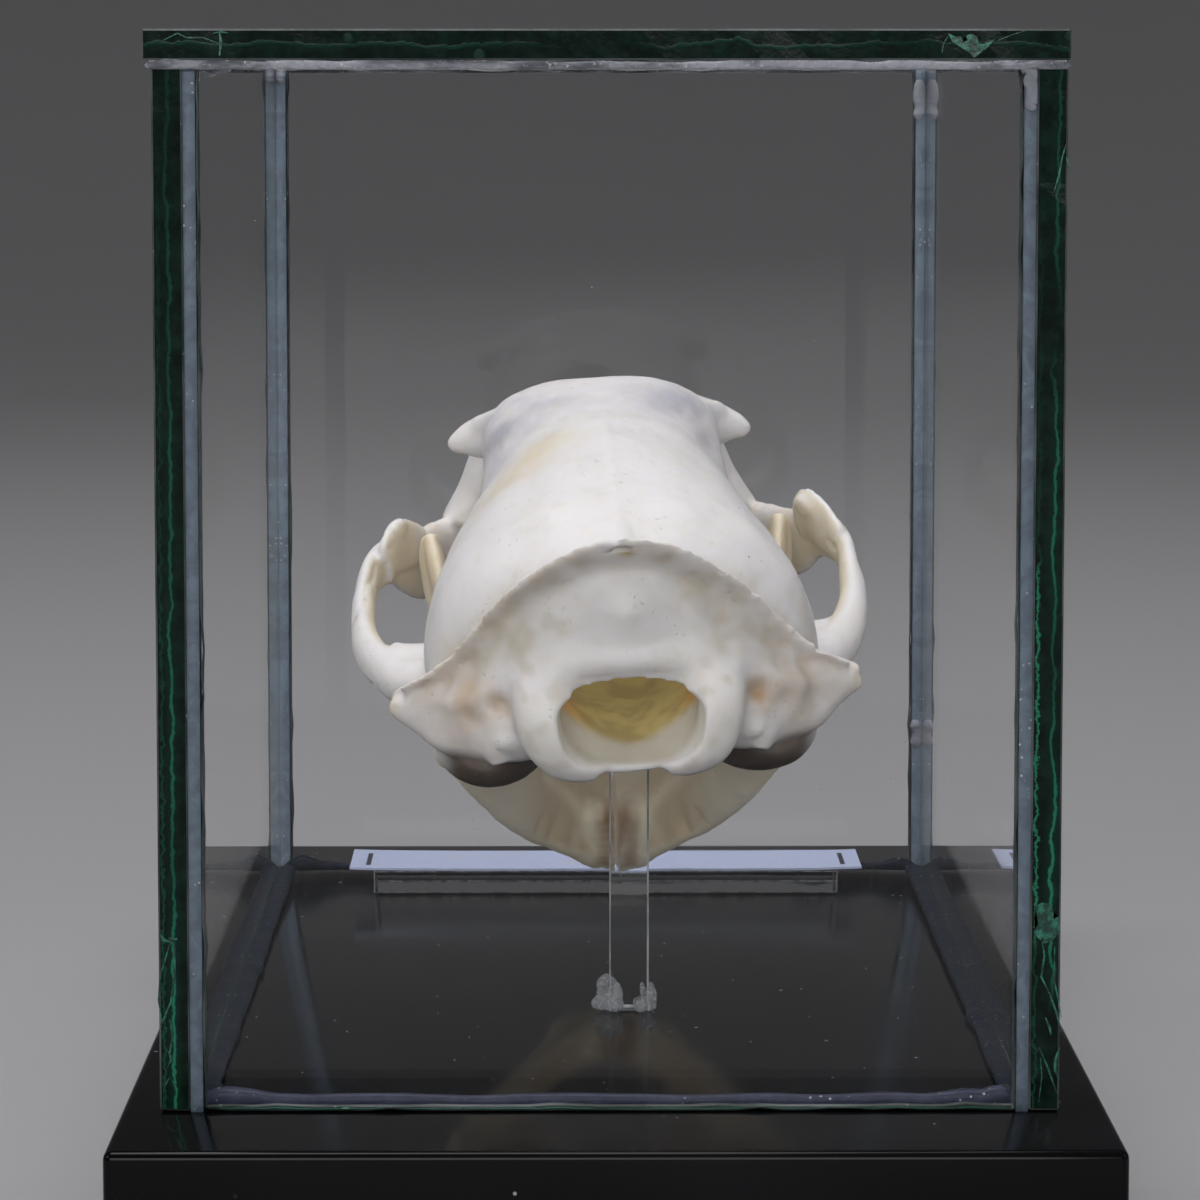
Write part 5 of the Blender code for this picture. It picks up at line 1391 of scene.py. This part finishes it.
def silicone():
    """Beads in the four upright joints, along the foot of each wall, and the knots where they meet."""
    left, right = CASE_AT_X - CASE_X / 2 + 0.004, CASE_AT_X + CASE_X / 2 - 0.004
    far = CASE_Y / 2
    low, top = PLINTH_Z + 0.02, PLINTH_Z + CASE_Z - 0.1
    tight = JOINT - 0.03
    upright = []
    for end, y, up, tall in (("near", 0.1 - far - GLASS, AWAY, 2.2), ("far", far + GLASS - 0.1, NEARER, 2.4)):
        for side, x, out in (("left", left, RIGHT), ("right", right, LEFT)):
            upright.append(bead(f"corner_{end}_{side}", (x, y, low), (x, y, top), out, up, tight, tall, 0.02,
                                seed=len(upright) + 1.0, power=24))
    front, face, back = 0.03 - far, -far - GLASS - 0.25, far - 0.05
    clumps = [
        bead("clump_near_left", (left, front, top + 0.2), (left + 3.2, front, top + 0.2), AWAY, DOWN,
             0.8, 0.75, 0.5, ((0.08, 0.9), (0.55, 0.3)), 12.0),
        bead("clump_near_right", (right, face, top - 2.9), (right, face, top + 0.3), LEFT, AWAY,
             0.8, 0.3, 0.12, ((0.95, 0.9), (0.6, 0.3)), 13.0),
        bead("clump_far_left", (left, back, top - 1), (left, back, top + 0.15), RIGHT, NEARER,
             0.72, 0.6, 0.2, seed=14.0),
        bead("clump_far_right", (right, back, top - 4.2), (right, back, top - 0.9), LEFT, NEARER,
             1.05, 0.7, 0.2, seed=15.0),
        bead("clump_far_wall", (right, back, 20.6), (right, back, 22.6), LEFT, NEARER,
             0.95, 0.7, 0.25, seed=16.0),
    ]
    side_foot = [
        bead("foot_left", (left, 0.4 - far, low), (left, far - 0.1, low), RIGHT, UP,
             1.5, 0.6, 0.1, ((0.04, 0.25), (0.5, 0.1)), 5.0),
        bead("foot_right", (right, 0.4 - far, low), (right, far - 0.1, low), LEFT, UP,
             1.5, 0.6, 0.1, ((0.02, 0.25), (0.3, 0.1)), 6.0),
        bead("foot_far", (left + 0.6, far - 0.03, low), (right - 0.6, far - 0.03, low), NEARER, UP,
             0.9, 0.7, 0.5, ((0.01, 1.3), (0.99, 1.3)), 7.0),
    ]
    near_foot = [bead("foot_near", (left + 0.3, front, low), (right - 0.3, front, low), AWAY, UP,
                      0.9, 0.85, 0.2, ((0.03, 0.5), (0.06, 0.3), (0.93, 0.35), (0.985, 0.75)), 8.0)]
    return upright, clumps, side_foot, near_foot


def lid_seams():
    """Rough lines of glue squeezed out between the walls and the lid."""
    left, right = CASE_AT_X - CASE_X / 2 - GLASS, CASE_AT_X + CASE_X / 2 + GLASS
    y, z = CASE_Y / 2 + GLASS, PLINTH_Z + CASE_Z - 0.32
    ends = ((0.005, 1.0), (0.995, 1.0))
    return [
        bead("seam_near", (left - 0.3, 0.25 - y, z), (right + 0.05, 0.25 - y, z), NEARER, UP,
             0.65, 0.6, 0.5, (*ends, (0.05, 0.4)), 11.0),
        bead("seam_far", (left - 0.3, y - 0.25, z), (right + 0.05, y - 0.25, z), AWAY, UP,
             0.65, 0.6, 0.5, ends, 12.0),
        bead("seam_left", (left + 0.25, 0.3 - y, z), (left + 0.25, y - 0.3, z), LEFT, UP,
             0.6, 0.6, 0.4, seed=13.0),
        bead("seam_right", (right - 0.3, 0.3 - y, z), (right - 0.3, y - 0.3, z), RIGHT, UP,
             0.5, 0.6, 0.3, seed=14.0),
    ]


def dust():
    """Specks on the inside of the end panes and on the plinth within the case."""
    rng = random.Random(4)
    bm = bmesh.new()
    for _ in range(170):
        x = CASE_AT_X + rng.uniform(-1, 1) * (CASE_X / 2 - 2)
        y, z = rng.uniform(-1, 1) * (CASE_Y / 2 - 2), PLINTH_Z + rng.uniform(2, CASE_Z - 2)
        wall = CASE_Y / 2 - 0.06
        spot = rng.choice([(x, -wall, z), (x, wall, z), (x, y, PLINTH_Z + 0.06), (x, y, PLINTH_Z + 0.06)])
        size = rng.uniform(0.025, 0.06)
        bmesh.ops.create_icosphere(bm, subdivisions=1, radius=size, matrix=Matrix.Translation(spot))
    return settle(bm, "dust")


# stand

def block(low, high, offset, segments):
    """Mesh of a box between two corners, with bevelled edges."""
    low, high = Vector(low), Vector(high)
    bm = bmesh.new()
    place = Matrix.Translation((low + high) / 2) @ Matrix.Diagonal((*(high - low), 1))
    bmesh.ops.create_cube(bm, size=1.0, matrix=place)
    bmesh.ops.bevel(bm, geom=bm.edges[:], offset=offset, offset_type="OFFSET", segments=segments, profile=0.5,
                    affect="EDGES", material=-1)
    return bm


def slab(name, low, high, offset, segments):
    """Box between two corners with rounded edges, which take the second finish where there is one."""
    bm = block(low, high, offset, segments)
    bm.normal_update()
    for face in bm.faces:
        face.material_index = 0 if max(map(abs, face.normal)) > 0.999 else 1
    return settle(bm, name)


def label_card():
    """Card that lifts a little at its ends and along its near edge."""
    low = PLINTH_Z + GAP + STRIP_THICK
    card = bmesh.new()
    bmesh.ops.create_grid(card, x_segments=60, y_segments=14, size=0.5)
    for vert in card.verts:
        x, y = vert.co.x * LABEL_X, vert.co.y * LABEL_Y
        wave = 0.05 * noise.noise(Vector((x / 6.0, y / 5.0, 2.0)))
        curl = 0.16 * (abs(x) / (LABEL_X / 2)) ** 6 + 0.06 * (abs(y) / (LABEL_Y / 2)) ** 4
        edge = 0.05 * noise.noise(Vector((x / 1.4, 3.0, y / 8.0)))
        vert.co = Vector((x, LABEL_AT + y + edge * (abs(vert.co.y) > 0.49), low + 0.22 + curl + wave))
    bmesh.ops.solidify(card, geom=card.faces[:], thickness=0.2)
    bmesh.ops.recalc_face_normals(card, faces=card.faces)
    return settle(card, "label_card")


def strip_block():
    return slab("clear_strip", (-STRIP_X / 2, LABEL_AT - STRIP_Y / 2, PLINTH_Z + 0.08),
                (STRIP_X / 2, LABEL_AT + STRIP_Y / 2, PLINTH_Z + GAP + STRIP_THICK), 0.09, 1)


def clear_rod(skull_to_world):
    """Square rod, cut on top to the slope of the floor of the braincase that it holds."""
    x, y = ROD_AT
    half = ROD / 2
    low, high = PLINTH_Z + 0.1, PLINTH_Z + 20
    bar = slab("clear_rod", (x - half, y - half, low), (x + half, y + half, high), 0.12, 1)
    to_skull = skull_to_world.inverted()
    rise = (to_skull.to_3x3() @ Vector((0, 0, 1))).z
    for vert in bar.data.vertices:
        if vert.co.z > PLINTH_Z + 10:
            here = to_skull @ Vector(vert.co)
            short = high - vert.co.z
            vert.co.z += (FLOOR_UNDER_ROD - 0.1 - here.z) / rise - short * 0.5
    return bar


def blob(name, rows):
    """Lumps of hard glue run together: rows of x, y, z, and three half sizes."""
    lumps = []
    for k, (x, y, z, a, b, c) in enumerate(rows):
        bm = bmesh.new()
        bmesh.ops.create_icosphere(bm, subdivisions=3, radius=1.0,
                                   matrix=Matrix.Translation((x, y, z)) @ Matrix.Diagonal((a, b, c, 1)))
        lumps.append(settle(bm, f"lump_{k}"))
    first = lumps.pop(0)
    join(first, lumps)
    cast(first, 0.14, 3)
    first.name = name
    roughen(first, 0.7, 0.12, 5.0)
    return first


def rod_foot():
    """Ring of glue round the foot of the rod, with a lump on its left and a thin skirt in front."""
    x, y = ROD_AT
    half, z = ROD / 2, PLINTH_Z
    rows = []
    for k in range(14):
        c, s = oval(math.tau * k / 14, 5.0)
        size = 0.55 + 0.2 * noise.noise(Vector((k * 0.8, 1.0, 0.0)))
        rows.append((x + c * (half + 0.15), y + s * (half + 0.15), z + 0.42, size, size, 0.38))
    left, right, front = x - half, x + half, y - half
    rows += [(left - 0.2, front + 0.2, z + 1.7, 0.85, 0.7, 1.3), (left - 0.7, front, z + 0.7, 0.7, 0.6, 0.55),
             (left + 0.5, front - 0.15, z + 1.3, 0.6, 0.35, 1.1),
             (right + 0.15, front + 0.4, z + 1.2, 0.5, 0.6, 1.1),
             (right - 0.5, front - 0.12, z + 1.2, 0.2, 0.3, 1.15)]
    return blob("rod_foot_glue", rows)


def rod_head(skull_to_world):
    """Cloudy fillet of glue between the top of the rod and the bone."""
    x, y = ROD_AT
    top = skull_to_world @ Vector((0.0, 21.0, FLOOR_UNDER_ROD))
    rows = [(x, y, top.z - 0.5, 1.7, 1.6, 0.7), (x + 0.4, y - 0.5, top.z - 1.1, 1.25, 1.1, 0.9),
            (x - 0.7, y + 0.3, top.z - 0.4, 1.2, 1.5, 0.6), (x + 1.2, y + 0.2, top.z - 0.4, 0.8, 1.2, 0.7)]
    return blob("rod_head_glue", rows)


# light, floor and camera

def lamp(name, place, aim, size, watts, colour=(1, 1, 1)):
    """Soft box. It isn't seen through glass, because its light already passes the panes as air."""
    data = bpy.data.lights.new(name, "AREA")
    data.shape = "RECTANGLE"
    data.size, data.size_y = size
    data.energy = watts
    data.color = colour
    item = bpy.data.objects.new(name, data)
    item.location = place
    item.rotation_euler = (Vector(aim) - Vector(place)).to_track_quat("-Z", "Y").to_euler()
    item.visible_transmission = False
    bpy.context.scene.collection.objects.link(item)


def studio_floor():
    """Pale floor that rises in a wide, even bowl, so that no line shows behind the case."""
    flat, rise, turn = 0.9, 1.3, math.pi / 2
    profile = [(0.0, 0.0), (0.35, 0.0), (0.7, 0.0)]
    profile += [(flat + rise * math.sin(turn * k / 14), rise * (1 - math.cos(turn * k / 14)))
                for k in range(15)]
    profile += [(flat + rise, 2.6)]
    bm = bmesh.new()
    verts = [bm.verts.new((r, 0, z)) for r, z in profile]
    edges = [bm.edges.new(ends) for ends in zip(verts, verts[1:])]
    bmesh.ops.spin(bm, geom=verts + edges, cent=(0, 0, 0), axis=(0, 0, 1), angle=math.tau, steps=96,
                   use_merge=True)
    bmesh.ops.remove_doubles(bm, verts=bm.verts, dist=1e-5)
    bmesh.ops.recalc_face_normals(bm, faces=bm.faces)
    middle = min(bm.faces, key=lambda face: face.calc_center_median().length)
    if middle.normal.z < 0:
        bmesh.ops.reverse_faces(bm, faces=bm.faces)
    floor = settle(bm, "floor")
    floor.data.shade_smooth()
    return floor


def studio():
    """Pale floor, soft boxes above, in front and at both sides, and the camera at the photograph's angle."""
    floor = studio_floor()
    floor.data.materials.append(floor_finish())
    bpy.context.scene.collection.objects.link(floor)
    aim = (0.0, 0.0, 0.04)
    lamp("soft_box_above", (-0.06, 0.02, 0.82), aim, (0.50, 0.42), 2.95, (1.0, 0.985, 1.0))
    lamp("soft_box_front", (-0.10, -1.05, 0.33), aim, (0.9, 0.36), 3.75, (1.0, 0.985, 1.0))
    lamp("soft_box_left", (-0.85, -0.45, 0.60), aim, (0.5, 0.5), 1.4, (1.0, 0.985, 0.97))
    lamp("soft_box_right", (0.85, -0.35, 0.50), aim, (0.45, 0.45), 0.6, (0.95, 0.975, 1.0))
    world = bpy.data.worlds.new("dim_room")
    world.use_nodes = True
    world.node_tree.nodes["Background"].inputs["Color"].default_value = (0.75, 0.77, 0.8, 1)
    world.node_tree.nodes["Background"].inputs["Strength"].default_value = 0.05
    bpy.context.scene.world = world
    bpy.context.scene.view_settings.view_transform = "Standard"
    data = bpy.data.cameras.new("camera")
    data.lens, data.sensor_width = 150.0, 36.0
    data.clip_start = 0.01
    camera = bpy.data.objects.new("camera", data)
    camera.location = (-0.0029, -0.3925, 0.0795)
    camera.rotation_euler = (math.radians(84.11), 0, math.radians(-0.32))
    bpy.context.scene.collection.objects.link(camera)
    bpy.context.scene.camera = camera


def finish_piece(item, place, finishes, nodes, smooth=True):
    """Move a piece to its place in metres, give it its finishes, and tell the frame what it is."""
    item.data.transform(Matrix.Scale(MM, 4) @ place)
    for finish in finishes:
        item.data.materials.append(finish)
    if smooth:
        item.data.shade_smooth()
    bpy.context.scene.collection.objects.link(item)
    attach(item, "root")
    if nodes:
        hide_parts(*nodes)


def main():
    studio()
    turn = (Matrix.Rotation(math.radians(SKULL_YAW), 4, "Z")
            @ Matrix.Rotation(math.radians(SKULL_PITCH), 4, "X")
            @ Matrix.Rotation(math.radians(SKULL_ROLL), 4, "Y"))
    x, y, z = SKULL_AT
    skull = Matrix.Translation(Vector((x, y, PLINTH_Z + z))) @ turn
    jaw = skull @ Matrix.Translation(Vector(HINGE)) @ Matrix.Rotation(-math.radians(GAPE), 4, "X")
    still = Matrix.Identity(4)

    bone, enamel = bone_finish(), enamel_finish()
    finish_piece(cranium(), skull, [bone], ["cranium"])
    finish_piece(teeth("upper_teeth", UPPER_TEETH, (-1, 1), -1.9, 3.6), skull, [enamel], ["cranium"])
    for side, name in ((-1, "left"), (1, "right")):
        node = [f"mandible_{name}"]
        finish_piece(jaw_half(f"jaw_{name}", side), jaw, [bone], node)
        finish_piece(teeth(f"lower_teeth_{name}", LOWER_TEETH, (side,), -1.4, 3.4), jaw, [enamel],
                     node)

    glass = [pane_finish(), edge_finish(), arris_finish()]
    for item, node in panes():
        finish_piece(item, still, glass, [node], smooth=False)
    finish_piece(edge_cracks(), still, [crack_finish()], [], smooth=False)
    silicones = [silicone_finish("blue_grey_silicone", (0.21, 0.275, 0.345), 0.3, 0.35),
                 silicone_finish("milky_silicone", (0.50, 0.52, 0.58), 0.5, 0.4),
                 silicone_finish("dark_silicone", (0.020, 0.030, 0.055), 0.6, 0.22, 1.18),
                 silicone_finish("lavender_silicone", (0.065, 0.072, 0.120), 0.4, 0.25, 1.25)]
    for items, finish in zip((*silicone(), lid_seams()), (*silicones, frosted_seam_finish())):
        for item in items:
            finish_piece(item, still, [finish], [])
    finish_piece(dust(), still, [dust_finish()], [], smooth=False)

    scraped = saw_arris_finish()
    rod_finishes = [acrylic_finish("clear_acrylic_rod", (1, 1, 0.15)), scraped]
    finish_piece(clear_rod(skull), still, rod_finishes, ["rod"], smooth=False)
    foot_glue = glue_finish("clear_glue", (0.93, 0.95, 0.97), 0.85, 0.05)
    head_glue = glue_finish("cloudy_glue", (0.74, 0.72, 0.68), 0.55, 0.25)
    finish_piece(rod_foot(), still, [foot_glue], [])
    finish_piece(rod_head(skull), still, [head_glue], [])
    strip_finishes = [acrylic_finish("clear_acrylic_strip", (0.15, 1, 1)), scraped]
    finish_piece(strip_block(), still, strip_finishes, ["label_strip"], smooth=False)
    finish_piece(label_card(), still, [paper_finish()], ["label"], smooth=False)
    half_x, half_y = PLINTH_X / 2, PLINTH_Y / 2
    plinth = slab("plinth_block", (-half_x, -half_y, 0), (half_x, half_y, PLINTH_Z), PLINTH_BEVEL, 4)
    black = plinth_finish()
    finish_piece(plinth, still, [black, black], ["plinth"])


main()
